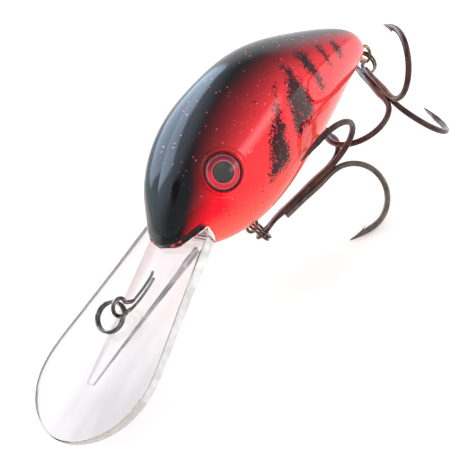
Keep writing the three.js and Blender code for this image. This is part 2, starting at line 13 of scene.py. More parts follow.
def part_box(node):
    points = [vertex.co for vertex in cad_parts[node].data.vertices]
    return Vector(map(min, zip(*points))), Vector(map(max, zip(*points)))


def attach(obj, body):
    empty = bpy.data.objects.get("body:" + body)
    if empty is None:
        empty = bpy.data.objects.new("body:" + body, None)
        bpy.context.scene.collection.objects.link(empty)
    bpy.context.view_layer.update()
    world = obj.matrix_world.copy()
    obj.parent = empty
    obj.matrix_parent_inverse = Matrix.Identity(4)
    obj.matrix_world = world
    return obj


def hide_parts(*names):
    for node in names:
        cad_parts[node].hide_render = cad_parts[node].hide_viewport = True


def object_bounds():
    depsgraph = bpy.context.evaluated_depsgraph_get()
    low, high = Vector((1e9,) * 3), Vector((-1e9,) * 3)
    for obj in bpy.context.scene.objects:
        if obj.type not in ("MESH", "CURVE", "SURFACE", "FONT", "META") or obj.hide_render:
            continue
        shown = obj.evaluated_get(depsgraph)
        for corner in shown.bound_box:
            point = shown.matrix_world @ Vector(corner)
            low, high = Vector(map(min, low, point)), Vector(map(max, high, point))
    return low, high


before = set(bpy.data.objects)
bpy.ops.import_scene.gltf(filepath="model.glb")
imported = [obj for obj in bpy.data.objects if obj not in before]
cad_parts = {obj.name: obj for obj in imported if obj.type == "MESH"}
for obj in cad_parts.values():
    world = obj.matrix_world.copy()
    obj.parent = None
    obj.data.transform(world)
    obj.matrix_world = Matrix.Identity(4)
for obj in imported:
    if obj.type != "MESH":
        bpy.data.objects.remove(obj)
cad_low, cad_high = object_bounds()


def unit(vector):
    vector = np.asarray(vector, float)
    return vector / np.linalg.norm(vector)


# ---------------------------------------------------------------- driving dimensions, mm
BALL_R, BALL_Z = 2.2, 1.2
BALL_YS = (33.0, 38.2, 43.4)

# Body outline at stations spaced evenly in angle: y = length * (1 - cos(pi * u)) / 2
BODY_LENGTH = 66.0
TOP_LINE = [-6.66, -3.8, -0.06, 3.98, 7.76, 10.8, 13.06, 14.51, 14.86,
            13.91, 12.19, 10.31, 8.45, 6.61, 4.65, 2.37, -0.41]
BOTTOM_LINE = [-6.66, -6.9, -8.28, -10.18, -12.02, -13.26, -13.65, -13.11, -11.81,
               -10.0, -7.95, -5.93, -4.25, -3.11, -2.29, -1.49, -0.41]
HALF_WIDTH = [0, 2.09, 4.64, 7.23, 9.42, 10.83, 11.38, 11.09, 10.25,
              9.15, 7.87, 6.45, 5.05, 3.79, 2.6, 1.37, 0]
WALL = 1.5
CAVITY_START, CAVITY_END = 0.2, 0.895  # stations, as shares
SEAM_GAP = 0.004  # from the middle plane to each shell

LIP_SLOPE = math.radians(22.6)
LIP_ROOT = np.array([0, 4.425, -5.66])
LIP_LENGTH = 40.1
LIP_HALF = [8.17, 10.14, 12.18, 13.41, 11.18, 5.98, 0]
LIP_THICK_ROOT, LIP_THICK_TIP = 2.3, 1.3
LIP_EDGE_R = 0.45
RIB_START, RIB_END, RIB_HALF_START, RIB_HALF_END, RIB_DEPTH = 2.2, 30.0, 6.2, 1.2, 2.2
TANG_LENGTH, TANG_HALF = 9.0, 5.2
SLOT_CLEARANCE, SLOT_END_CLEARANCE = 0.15, 0.2

TIE_WIRE_R, TIE_EYE_R, TIE_EYE_ALONG, TIE_EYE_RISE = 0.35, 1.48, 17.0, 1.95
RING_R, RING_WIRE_R, RING_PITCH, RING_TURNS = 2.6, 0.3, 0.66, 1.94
HANGER_EYE_R, HANGER_WIRE_R = 1.6, 0.42
BELLY_HANGER_AT, BELLY_HANGER_IN = np.array([0, 20.9, -15.3]), unit([0, 0.05, 1])
TAIL_HANGER_AT, TAIL_HANGER_IN = np.array([0, 67.1, -2.1]), unit([0, -1, 0.12])
HOOK_SHANK, HOOK_GAPE, HOOK_BEND, HOOK_POINT, HOOK_POINT_IN = 18.2, 13.7, 6.8, 6.6, 1.4
HOOK_WIRE_R, HOOK_SPREAD, HOOK_EYE_R, HOOK_EYE_WIRE_R = 0.6, 0.76, 1.6, 0.42
HOOK_TAPER = 4.6  # length of the sharpened end

SIDES = ((1, "left"), (-1, "right"))
EYE_AT = np.array([9.28, 11.46, 2.36])
EYE_NORMAL = unit([0.867, -0.368, 0.337])
EYE_SINK = {1: 0.0, -1: 0.42}  # the right eye is pressed in further

# The rattle ball's place in the frame gives the offset from the design millimetres.
ball_low, ball_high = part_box("rattle_ball_1")
OFFSET = (np.array(ball_low) + np.array(ball_high)) * 500.0 - np.array([0.0, BALL_YS[0], BALL_Z])


def to_frame(points):
    """Design millimetres to frame metres."""
    return (np.asarray(points, float) + OFFSET) * 0.001


# ---------------------------------------------------------------- numbers and curves
def square_to(vector, axis):
    """Unit vector along the part of vector that is square to axis."""
    vector = np.asarray(vector, float)
    return unit(vector - axis * (vector @ axis))


def ease(start, end, x):
    """Smooth step from 0 at start to 1 at end; start may be the larger."""
    share = np.clip((x - start) / (end - start), 0, 1)
    return share * share * (3 - 2 * share)


def bell(x, centre, width):
    return np.exp(-(((x - centre) / width) ** 2))


def spaced(count, density):
    """Shares from 0 to 1, closer together where density is higher."""
    x = np.linspace(0, 1, 4001)
    weight = density(x)
    total = np.concatenate([[0], np.cumsum((weight[1:] + weight[:-1]) / 2)])
    return np.interp(np.linspace(0, total[-1], count), total, x)


def cubic(table):
    """Smooth curve through evenly spaced values, straight at both ends."""
    table = np.array(table, float)
    count = len(table)
    system = np.eye(count)
    right_side = np.zeros(count)
    for i in range(1, count - 1):
        system[i, i - 1 : i + 2] = [1, 4, 1]
        right_side[i] = 6 * (table[i - 1] - 2 * table[i] + table[i + 1])
    curve = np.linalg.solve(system, right_side)

    def value(share):
        x = np.clip(np.asarray(share, float), 0, 1) * (count - 1)
        i = np.minimum(np.floor(x).astype(int), count - 2)
        s = x - i
        line = table[i] * (1 - s) + table[i + 1] * s
        return (line + ((1 - s) ** 3 - (1 - s)) * curve[i] / 6
                + (s**3 - s) * curve[i + 1] / 6)

    return value


top_at, bottom_at, half_at = cubic(TOP_LINE), cubic(BOTTOM_LINE), cubic(HALF_WIDTH)
lip_half_at = cubic(LIP_HALF)


def catmull(points, count):
    """Evenly spaced points on a centripetal curve through the given ones, and its length."""
    knots = [np.asarray(point, float) for point in points]
    knots = [2 * knots[0] - knots[1]] + knots + [2 * knots[-1] - knots[-2]]
    samples = 24  # a span
    fine = []
    for before, start, end, after in zip(knots, knots[1:], knots[2:], knots[3:]):
        gap0, gap1, gap2 = [
            max(np.linalg.norm(b - a) ** 0.5, 1e-4)
            for a, b in ((before, start), (start, end), (end, after))
        ]
        middle = (end - start) / gap1
        slope1 = ((start - before) / gap0 - (end - before) / (gap0 + gap1) + middle) * gap1
        slope2 = (middle - (after - start) / (gap1 + gap2) + (after - end) / gap2) * gap1
        square = -3 * start + 3 * end - 2 * slope1 - slope2
        cube = 2 * start - 2 * end + slope1 + slope2
        for s in np.arange(samples) / samples:
            fine.append(start + slope1 * s + square * s * s + cube * s**3)
    fine.append(knots[-2])
    fine = np.array(fine)
    run = np.concatenate([[0], np.cumsum(np.linalg.norm(np.diff(fine, axis=0), axis=1))])
    even = np.linspace(0, run[-1], count)
    return np.stack([np.interp(even, run, fine[:, k]) for k in range(3)], -1), run[-1]


# ---------------------------------------------------------------- meshes
def make_object(name, mesh):
    obj = bpy.data.objects.new(name, mesh)
    bpy.context.scene.collection.objects.link(obj)
    return obj


def outward(points, faces):
    """Turns the faces of a closed mesh over if it is inside out."""
    volume = 0.0
    for face in faces:
        for i in range(1, len(face) - 1):
            cross = np.cross(points[face[i]], points[face[i + 1]])
            volume += np.dot(points[face[0]], cross)
    return [face[::-1] for face in faces] if volume < 0 else faces


def solid(name, points, faces):
    """Object from a closed mesh in design millimetres."""
    mesh = bpy.data.meshes.new(name)
    mesh.from_pydata(to_frame(points).tolist(), [], outward(points, faces))
    mesh.validate()
    mesh.update()
    return make_object(name, mesh)


def boolean(obj, other, operation):
    """Applies one boolean to the mesh of obj and removes the other object."""
    modifier = obj.modifiers.new("b", "BOOLEAN")
    modifier.operation = operation
    modifier.object = other
    modifier.solver = "MANIFOLD"
    depsgraph = bpy.context.evaluated_depsgraph_get()
    depsgraph.update()
    mesh = bpy.data.meshes.new_from_object(obj.evaluated_get(depsgraph))
    obj.modifiers.clear()
    old = obj.data
    obj.data = mesh
    bpy.data.meshes.remove(old)
    bpy.data.objects.remove(other)
    if len(mesh.vertices) == 0:
        raise RuntimeError("boolean gave nothing for " + obj.name)
    return obj


def grid_faces(rows, cols):
    """Quads of a grid that is closed across its columns."""
    faces = []
    for i in range(rows - 1):
        for j in range(cols):
            k = (j + 1) % cols
            faces.append([i * cols + j, i * cols + k, (i + 1) * cols + k, (i + 1) * cols + j])
    return faces


def closed_grid(grid, first, last):
    """Grid of rings with a pole at each end."""
    rows, cols = grid.shape[:2]
    faces = grid_faces(rows, cols)
    pole, end = rows * cols, (rows - 1) * cols
    for j in range(cols):
        k = (j + 1) % cols
        faces.append([pole, k, j])
        faces.append([pole + 1, end + j, end + k])
    return np.concatenate([grid.reshape(-1, 3), [first], [last]]), faces


def capped_grid(rings):
    """Grid of rings with a flat face at each end."""
    grid = np.array(rings)
    rows, cols = grid.shape[:2]
    faces = grid_faces(rows, cols)
    faces.append(list(range(cols))[::-1])
    faces.append([(rows - 1) * cols + j for j in range(cols)])
    return grid.reshape(-1, 3), faces


def box(name, xs, ys, zs, place=lambda x, y, z: [x, y, z]):
    corners = np.array([place(x, y, z) for x in xs for y in ys for z in zs])
    faces = [[0, 1, 3, 2], [4, 6, 7, 5], [0, 4, 5, 1], [2, 3, 7, 6], [0, 2, 6, 4], [1, 5, 7, 3]]
    return solid(name, corners, faces)


def lathe(profile, centre, normal, segments=96):
    """Solid turned about normal; profile is (radius, height) from the axis to the axis."""
    axis = unit(normal)
    first = square_to((0, 0, 1), axis)
    second = np.cross(axis, first)
    angles = np.linspace(0, 2 * np.pi, segments, endpoint=False)
    spokes = np.cos(angles)[:, None] * first + np.sin(angles)[:, None] * second
    rings = [centre + axis * height + radius * spokes for radius, height in profile[1:-1]]
    ends = [centre + axis * profile[k][1] for k in (0, -1)]
    return closed_grid(np.array(rings), *ends)


CAP_SHARES = (0.25, 0.55, 0.8, 0.95)  # ring radii on a rounded end


def round_section(angles, share):
    return np.cos(angles), np.sin(angles)


def squared_section(angles, power):
    """Round at power 2, squarer above it and sharper below."""
    cos, sin = np.cos(angles), np.sin(angles)
    scale = (np.abs(cos) ** power + np.abs(sin) ** power) ** (-1 / power)
    return cos * scale, sin * scale


def sweep(points, radius, sides=20, section=round_section, cap=0.6, start_normal=None):
    """Tube along points; radius may depend on the share along it, cap rounds the ends."""
    centres = np.asarray(points, float)
    count = len(centres)
    end = count - 1
    tangents = np.gradient(centres, axis=0)
    tangents /= np.linalg.norm(tangents, axis=1)[:, None]
    radii = np.array([radius(i / end) if callable(radius) else radius for i in range(count)])
    if start_normal is None:
        start_normal = [1, 0, 0] if abs(tangents[0][0]) < 0.8 else [0, 0, 1]
    normals = [square_to(start_normal, tangents[0])]
    for tangent in tangents[1:]:
        normals.append(square_to(normals[-1], tangent))
    normals = np.array(normals)
    sideways = np.cross(tangents, normals)
    angles = np.linspace(0, 2 * np.pi, sides, endpoint=False)

    def ring(i, centre, size):
        cos, sin = section(angles, i / end)
        return centre + size * (cos[:, None] * normals[i] + sin[:, None] * sideways[i])

    def cap_ring(i, way, share):
        reach = way * tangents[i] * radii[i] * cap * math.sqrt(1 - share * share)
        return ring(i, centres[i] + reach, radii[i] * share)

    rings = [cap_ring(0, -1, share) for share in CAP_SHARES]
    rings += [ring(i, centres[i], radii[i]) for i in range(count)]
    rings += [cap_ring(end, 1, share) for share in CAP_SHARES[::-1]]
    faces = [face[::-1] for face in grid_faces(len(rings), sides)]
    pole, last = len(rings) * sides, (len(rings) - 1) * sides
    for j in range(sides):
        k = (j + 1) % sides
        faces.append([pole, j, k])
        faces.append([pole + 1, last + k, last + j])
    start_pole = centres[0] - tangents[0] * radii[0] * cap
    end_pole = centres[-1] + tangents[-1] * radii[-1] * cap
    return np.concatenate(rings + [[start_pole], [end_pole]]), faces


def float_attribute(mesh, name, values):
    attribute = mesh.attributes.new(name, "FLOAT", "POINT")
    attribute.data.foreach_set("value", np.asarray(values, np.float32))


def colour_attribute(mesh, name, rgb):
    attribute = mesh.attributes.new(name, "FLOAT_COLOR", "POINT")
    rgba = np.ones((len(rgb), 4), np.float32)
    rgba[:, :3] = rgb
    attribute.data.foreach_set("color", rgba.ravel())


def design_points(mesh):
    flat = np.empty(len(mesh.vertices) * 3, np.float32)
    mesh.vertices.foreach_get("co", flat)
    return flat.reshape(-1, 3).astype(float) * 1000.0 - OFFSET


def put(obj, body, material, node, sharp):
    mesh = obj.data
    mesh.polygons.foreach_set("use_smooth", np.ones(len(mesh.polygons), bool))
    mesh.set_sharp_from_angle(angle=math.radians(sharp))
    mesh.update()
    mesh.materials.clear()
    mesh.materials.append(material)
    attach(obj, body)
    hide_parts(node)


# ---------------------------------------------------------------- node building
class Value:
    """A node output; arithmetic on it adds Math nodes."""

    def __init__(self, net, socket):
        self.net = net
        self.socket = socket

    def __add__(self, other):
        return self.net.math("ADD", self, other)

    def __radd__(self, other):
        return self.net.math("ADD", other, self)

    def __sub__(self, other):
        return self.net.math("SUBTRACT", self, other)

    def __rsub__(self, other):
        return self.net.math("SUBTRACT", other, self)

    def __mul__(self, other):
        return self.net.math("MULTIPLY", self, other)

    def step(self, off, on):
        """Smooth step, 0 at off and 1 at on."""
        inputs = {"From Min": off, "From Max": on, "Value": self}
        return self.net.out("MapRange", inputs, interpolation_type="SMOOTHSTEP")


class Nodes:
    """The node tree of a material or world, with short calls for adding to it."""

    def __init__(self, owner, output="ShaderNodeOutputMaterial"):
        owner.use_nodes = True
        self.owner = owner
        self.tree = owner.node_tree
        self.tree.nodes.clear()
        self.output = self.tree.nodes.new(output)
        self.resting = None

    def link(self, value, socket):
        if isinstance(value, Value):
            self.tree.links.new(value.socket, socket)
            return
        if hasattr(value, "__len__") and len(value) == 3 and len(socket.default_value) == 4:
            value = (*value, 1.0)
        socket.default_value = value

    def node(self, kind, inputs, **settings):
        node = self.tree.nodes.new("ShaderNode" + kind)
        for key, setting in settings.items():
            setattr(node, key, setting)
        for key, value in inputs.items():
            self.link(value, node.inputs[key])
        return node

    def outs(self, kind, outputs, inputs={}, **settings):
        node = self.node(kind, inputs, **settings)
        return [Value(self, node.outputs[key]) for key in outputs]

    def out(self, kind, inputs={}, output=0, **settings):
        return self.outs(kind, [output], inputs, **settings)[0]

    def math(self, operation, *values):
        return self.out("Math", dict(enumerate(values)), operation=operation)

    def mix(self, share, first, second, mode="MIX"):
        inputs = {0: share, 6: first, 7: second}
        return self.out("Mix", inputs, 2, data_type="RGBA", blend_type=mode, clamp_factor=True)

    def mix_float(self, share, first, second):
        return self.out("Mix", {0: share, 2: first, 3: second}, data_type="FLOAT")

    def mix_shader(self, share, first, second):
        return self.out("MixShader", {0: share, 1: first, 2: second})

    def attribute(self, name, output="Fac"):
        return self.out("Attribute", output=output, attribute_name=name)

    def place(self):
        """The resting position in millimetres."""
        if self.resting is None:
            metres = self.out("TexCoord", output="Object")
            inputs = {0: metres, "Scale": 1000.0}
            self.resting = self.out("VectorMath", inputs, operation="SCALE")
        return self.resting

    def stretched(self, scale):
        return self.out("VectorMath", {0: self.place(), 1: scale}, operation="MULTIPLY")

    def xyz(self, vector):
        return self.outs("SeparateXYZ", (0, 1, 2), {0: vector})

    def noise(self, scale, detail=2.0, rough=0.5, vector=None):
        inputs = {
            "Vector": vector or self.place(), "Scale": scale,
            "Detail": detail, "Roughness": rough,
        }
        return self.out("TexNoise", inputs, "Fac")

    def cells(self, scale):
        """Three random values for each cell, and the distance from its middle."""
        inputs = {"Vector": self.place(), "Scale": scale}
        distance, colour = self.outs("TexVoronoi", ("Distance", "Color"), inputs)
        return self.xyz(colour), distance

    def ramp(self, share, stops, mode="LINEAR"):
        node = self.node("ValToRGB", {0: share})
        node.color_ramp.interpolation = mode
        elements = node.color_ramp.elements
        while len(elements) < len(stops):
            elements.new(0.5)
        for k, (position, colour) in enumerate(stops):
            elements[k].position = position
            elements[k].color = (*colour, 1.0)
        return Value(self, node.outputs[0])

    def bump(self, height, strength, distance):
        """Distance in metres."""
        inputs = {"Strength": strength, "Distance": distance, "Height": height}
        return self.out("Bump", inputs)

    def principled(self, **inputs):
        named = {key.replace("_", " "): value for key, value in inputs.items()}
        return self.out("BsdfPrincipled", named)

    def shadow_thin(self, shader, colour):
        """Lets most shadow rays through a clear material, tinted."""
        shadow = self.out("LightPath", output="Is Shadow Ray")
        clear = self.out("BsdfTransparent", {"Color": colour})
        passed = 0.95
        return self.mix_shader(shadow * passed, shader, clear)

    def finish(self, shader):
        self.link(shader, self.output.inputs["Surface"])
        return self.owner


def material_nodes(name):
    return Nodes(bpy.data.materials.new(name))


# ---------------------------------------------------------------- materials
FLAKE_COLOURS = [
    (0.0, (0.9, 0.10, 0.22)), (0.5, (1.0, 0.22, 0.40)),
    (0.8, (1.0, 0.45, 0.62)), (1.0, (1.0, 0.9, 0.9)),
]


def paint_material():
    """Airbrushed red and black with stippled bars, metal flake, wear and clear lacquer, and a painted
    glow on the bare plastic in the mouth.
    """
    ink_black, speck_red, rubbed_red = (0.012, 0.010, 0.012), (0.10, 0.004, 0.006), (0.85, 0.03, 0.05)
    chip_red, chip_pale = (0.80, 0.02, 0.05), (0.92, 0.74, 0.74)
    net = material_nodes("crayfish_paint")
    base = net.attribute("base", "Color")
    # soft grain in the base coat
    grain = net.noise(scale=2.2, detail=3.0, rough=0.6).step(off=0.35, on=0.75)
    darker = net.mix(1.0, base, (0.55, 0.5, 0.5), "MULTIPLY")
    colour = net.mix(grain * 0.14, base, darker)
    # stippled bars: each cell is on or off, thinning out past the bar's edge
    cell, _ = net.cells(scale=4.2)
    cloud = net.noise(scale=1.1, detail=2.0, rough=0.6)
    field = net.attribute("bar") + (cell[0] - 0.5) * 1.7 + (cloud - 0.5) * 1.6
    inked = field.step(off=0.0, on=0.12)
    # base coat showing through as round dots
    cell, distance = net.cells(scale=2.9)
    through = cell[0].step(off=0.70, on=0.74) * distance.step(off=0.40, on=0.28)
    ink = inked * (1.0 - through * 0.85) * 0.97
    colour = net.mix(ink, colour, ink_black)
    # metal flake under the lacquer
    cell, distance = net.cells(scale=1.45)
    flake = (cell[1].step(off=0.75, on=0.77) * distance.step(off=0.22, on=0.14)
             * net.attribute("flakes"))
    flake_colour = net.ramp(cell[2], FLAKE_COLOURS, mode="CONSTANT")
    colour = net.mix(flake * 0.85, colour, flake_colour)
    # a few dark overspray dots on the throat and cheek
    cell, distance = net.cells(scale=1.15)
    dot = cell[0].step(off=0.50, on=0.52) * distance.step(off=0.22, on=0.13)
    colour = net.mix(dot * net.attribute("speck") * 0.9, colour, speck_red)
    # rubbed spots on the nose, chipped lower edge of the mouth
    rubbing = net.noise(scale=2.4, detail=3.0, rough=0.7)
    worn = (net.attribute("wear") + (rubbing - 0.5) * 1.1).step(off=0.42, on=0.60)
    colour = net.mix(worn, colour, rubbed_red)
    chipping = net.noise(scale=1.6, detail=3.0, rough=0.7)
    chip = (net.attribute("edge") + (chipping - 0.5) * 0.8).step(off=0.45, on=0.6)
    depth = net.noise(scale=0.9).step(off=0.40, on=0.52)
    colour = net.mix(chip, colour, net.mix(depth, chip_red, chip_pale))
    # lacquer: faint waviness with a fine texture
    wave = net.noise(scale=0.35, detail=1.0, rough=0.4)
    fine = net.noise(scale=5.0, detail=2.0, rough=0.5)
    normal = net.bump(wave * 1.0 + fine * 0.03, strength=0.25, distance=0.00012)
    haze = net.noise(scale=0.6, detail=4.0, rough=0.7).step(off=0.45, on=0.8)
    return net.finish(net.principled(
        Base_Color=colour,
        Roughness=net.mix_float(flake, 0.42, 0.25),
        Metallic=flake * 0.6,
        Specular_IOR_Level=0.0,
        Coat_Weight=1.0,
        Coat_Roughness=net.mix_float(haze, 0.035, 0.09),
        Coat_IOR=1.5,
        Coat_Normal=normal,
        # painted light: the bare plastic faces in the mouth glow faintly pink to lift the shade there
        Emission_Color=(1.0, 0.86, 0.86),
        Emission_Strength=net.attribute("bare") * 0.38,
    ))


def metal_material(name, dark, light, rough, tint=None):
    """Metal that varies in tone, with fine pits and an optional tint in patches."""
    net = material_nodes(name)
    broad = net.noise(scale=0.8, detail=4.0, rough=0.6)
    fine = net.noise(scale=6.0, detail=3.0, rough=0.6)
    colour = net.mix(broad.step(off=0.35, on=0.68), dark, light)
    if tint is not None:
        patches = net.noise(scale=0.45, detail=3.0, rough=0.7)
        colour = net.mix(patches.step(off=0.55, on=0.72), colour, tint)
    return net.finish(net.principled(
        Base_Color=colour,
        Metallic=1.0,
        Roughness=rough + (fine - 0.4) * 0.25,
        Normal=net.bump(fine * 0.5 + broad * 0.5, strength=0.25, distance=0.00006),
    ))


def hook_material(name, dark, light):
    """Lacquered wire, browner at the braze and the points."""
    braze_brown, point_grey = (0.26, 0.125, 0.055), (0.16, 0.12, 0.10)
    net = material_nodes(name)
    broad = net.noise(scale=0.55, detail=4.0, rough=0.6)
    fine = net.noise(scale=5.0, detail=3.0, rough=0.6)
    colour = net.mix(broad.step(off=0.3, on=0.7), dark, light)
    colour = net.mix(net.attribute("braze") * 0.55, colour, braze_brown)
    colour = net.mix(net.attribute("point") * 0.6, colour, point_grey)
    return net.finish(net.principled(
        Base_Color=colour,
        Metallic=0.72,
        Roughness=0.26 + fine * 0.25,
        Normal=net.bump(fine, strength=0.25, distance=0.00005),
        Coat_Weight=0.6,
        Coat_Roughness=0.08,
    ))


def lip_material():
    """Clear plastic with scratches along it, scuffs near the tip and pale edge walls."""
    index = 1.585
    clear, clear_root = (0.912, 0.903, 0.905), (0.850, 0.820, 0.827)
    cloud_tint, streak_reflection_tint, scuff_tint = (0.875, 0.863, 0.868), (0.845, 0.832, 0.838), (0.74, 0.69, 0.66)
    net = material_nodes("clear_polycarbonate")
    lengthwise = net.stretched((3.2, 0.16, 0.3))
    scratch = net.noise(scale=1.0, detail=3.0, rough=0.75, vector=lengthwise)
    fine = net.noise(scale=3.0, detail=4.0, rough=0.7)
    scuff = (net.attribute("scuff") * 0.75 + (fine - 0.5) * 0.9).step(off=0.42, on=0.75)
    rough = scratch.step(off=0.60, on=0.75) * 0.015 + scuff * 0.30
    swell = net.noise(scale=0.16, detail=2.0, rough=0.5)
    height = swell * 2.2 + (scratch * 0.12 + fine * scuff * 0.6)
    normal = net.bump(height, strength=0.35, distance=0.00016)
    # tint: darker at the root and in soft clouds; the long bands are painted reflection streaks
    colour = net.mix(net.attribute("root"), clear, clear_root)
    cloud = net.noise(scale=0.11, detail=2.0, rough=0.5).step(off=0.42, on=0.68)
    colour = net.mix(cloud * 0.6, colour, cloud_tint)
    # painted reflections: soft grey streaks along the lip
    streak_reflection_stretch = net.stretched((0.34, 0.035, 0.06))
    streak_reflection = net.noise(scale=1.0, detail=2.0, rough=0.5, vector=streak_reflection_stretch)
    colour = net.mix(streak_reflection.step(off=0.44, on=0.64) * 0.60, colour, streak_reflection_tint)
    colour = net.mix(scuff, colour, scuff_tint)
    surface = {"Roughness": rough, "Normal": normal}
    refraction = net.out("BsdfRefraction", {**surface, "IOR": index, "Color": colour})
    # reflections inside the plastic are darker
    inside = net.out("NewGeometry", output="Backfacing")
    mirror = net.mix(inside, (0.46, 0.40, 0.35), (0.97, 0.96, 0.96))
    glossy = net.out("BsdfGlossy", {**surface, "Color": mirror})
    fresnel = net.out("Fresnel", {"IOR": index, "Normal": normal})
    shader = net.mix_shader(fresnel, refraction, glossy)
    # matt edge walls
    mottle = net.noise(scale=0.7, detail=3.0, rough=0.6).step(off=0.35, on=0.7)
    pale = net.mix(mottle, (0.70, 0.69, 0.69), (0.86, 0.84, 0.845))
    wall = net.out("BsdfDiffuse", {"Color": pale})
    shader = net.mix_shader(net.attribute("wall") * 0.80, shader, wall)
    # dull scuffs
    dirt = net.mix(fine.step(off=0.3, on=0.7), (0.30, 0.26, 0.235), (0.62, 0.57, 0.53))
    dull = net.out("BsdfDiffuse", {"Color": dirt})
    shader = net.mix_shader(scuff * 0.70, shader, dull)
    return net.finish(net.shadow_thin(shader, colour=(0.97, 0.95, 0.95)))


def lens_material():
    net = material_nodes("clear_lens")
    shader = net.principled(
        Base_Color=(1.0, 0.98, 0.98),
        Roughness=net.noise(scale=0.9, detail=2.0, rough=0.5) * 0.02,
        IOR=1.45,
        Transmission_Weight=1.0,
    )
    return net.finish(net.shadow_thin(shader, colour=(0.97, 0.93, 0.93)))


def iris_material():
    """Printed rings by radius in mm: pupil, bright ring, red iris, pink ring, dark rim; the iris has
    painted shade, brighter below and darker towards the top, and a painted glow.
    """
    pupil, bright, pink, rim = (
        (0.018, 0.020, 0.018), (0.86, 0.14, 0.16), (0.75, 0.28, 0.34), (0.040, 0.006, 0.010))
    lit_lower_red, shaded_upper_red = (0.95, 0.030, 0.050), (0.26, 0.006, 0.024)
    net = material_nodes("printed_eye")
    radius = net.attribute("radius")
    grain = net.noise(scale=2.0, detail=3.0, rough=0.6)
    # painted shade: the iris is lit red at the bottom and darker towards the top
    iris_painted_shade = (net.attribute("up") + grain * 0.6).step(off=-0.2, on=1.6)
    colour = net.mix(iris_painted_shade, lit_lower_red, shaded_upper_red)
    colour = net.mix(radius.step(off=2.72, on=2.80), colour, rim)
    pink_ring = radius.step(off=2.64, on=2.70) * radius.step(off=2.80, on=2.74)
    colour = net.mix(pink_ring, colour, pink)
    bright_ring = radius.step(off=1.74, on=1.80) * radius.step(off=1.94, on=1.86)
    colour = net.mix(bright_ring, colour, bright)
    colour = net.mix(radius.step(off=1.80, on=1.74), colour, pupil)
    return net.finish(net.principled(
        Base_Color=colour,
        Roughness=0.35,
        Specular_IOR_Level=0.2,
        # painted glow: the printed eye gives off a little light in its own colours
        Emission_Color=colour,
        Emission_Strength=0.22,
        Normal=net.bump(grain, strength=0.1, distance=0.00003),
    ))


PAINT = paint_material()
CLEAR_LIP = lip_material()
CLEAR_LENS = lens_material()
IRIS = iris_material()
NICKEL = metal_material("black_nickel_wire", dark=(0.13, 0.115, 0.105),
                        light=(0.42, 0.385, 0.36), rough=0.12, tint=(0.24, 0.18, 0.13))
DARK_RING = metal_material("browned_ring_wire", dark=(0.13, 0.09, 0.075),
                           light=(0.42, 0.36, 0.31), rough=0.16, tint=(0.12, 0.07, 0.06))
BRASS = metal_material("dull_brass_wire", dark=(0.42, 0.28, 0.17),
                       light=(0.72, 0.56, 0.40), rough=0.2, tint=(0.34, 0.19, 0.12))
# a darker copy of the brass, used for the belly hanger under the body
DARK_BRASS = metal_material("darker_brass_wire", dark=(0.22, 0.14, 0.10),
                            light=(0.50, 0.40, 0.32), rough=0.2, tint=(0.16, 0.09, 0.07))
TAIL_RING = metal_material("bronzed_ring_wire", dark=(0.16, 0.10, 0.08),
                           light=(0.42, 0.31, 0.24), rough=0.2, tint=(0.12, 0.08, 0.06))
HOOK = hook_material("bronze_lacquered_hook", dark=(0.060, 0.026, 0.024),
                     light=(0.150, 0.085, 0.075))
LIGHT_HOOK = hook_material("bronze_lacquered_hook_light", dark=(0.135, 0.122, 0.100),
                           light=(0.27, 0.245, 0.205))
LEAD = metal_material("cast_weight_metal", dark=(0.20, 0.21, 0.22),
                      light=(0.36, 0.37, 0.39), rough=0.45)
STEEL = metal_material("steel_ball_metal", dark=(0.50, 0.51, 0.53),
                       light=(0.72, 0.73, 0.75), rough=0.12)


# ---------------------------------------------------------------- lip and eye frames
LIP_ALONG = np.array([0, -math.cos(LIP_SLOPE), -math.sin(LIP_SLOPE)])
LIP_UP = np.array([0, -math.sin(LIP_SLOPE), math.cos(LIP_SLOPE)])


def lip_point(x, along, height):
    return LIP_ROOT + LIP_ALONG * along + LIP_UP * height + np.array([x, 0, 0])


def lip_coords(points):
    """Distance forward along the lip and height above its top plane."""
    return (points - LIP_ROOT) @ LIP_ALONG, (points - LIP_ROOT) @ LIP_UP


def lip_box(name, half, along, heights):
    return box(name, (-half, half), heights, along, lambda x, y, z: lip_point(x, z, y))


def eye_frame(side, pressed=True):
    """Middle and outward normal of an eye; pressed counts how far it is sunk."""
    normal = EYE_NORMAL * [side, 1, 1]
    centre = EYE_AT * [side, 1, 1]
    return (centre - normal * EYE_SINK[side] if pressed else centre), normal


# ---------------------------------------------------------------- body shell
def section_at(station):
    """Middle height, half height and half width."""
    top, bottom = top_at(station), bottom_at(station)
    return (top + bottom) / 2, (top - bottom) / 2, half_at(station)


def station_y(station):
    return BODY_LENGTH * (1 - np.cos(np.pi * station)) / 2


def oval_grid(stations, angles, middle, high, wide):
    """Rows of ovals along the body."""
    return np.stack([
        wide[:, None] * np.cos(angles),
        station_y(stations)[:, None] + 0 * angles,
        middle[:, None] + high[:, None] * np.sin(angles),
    ], -1)


def grid_normals(grid):
    """Outward normals of a grid that is closed across its columns."""
    along = np.gradient(grid, axis=0)
    around = (np.roll(grid, -1, axis=1) - np.roll(grid, 1, axis=1)) / 2
    normals = np.cross(around, along)
    normals /= np.maximum(np.linalg.norm(normals, axis=2)[:, :, None], 1e-9)
    middles = grid.mean(axis=1, keepdims=True)
    normals[((grid - middles) * normals).sum(axis=2) < 0] *= -1
    return normals


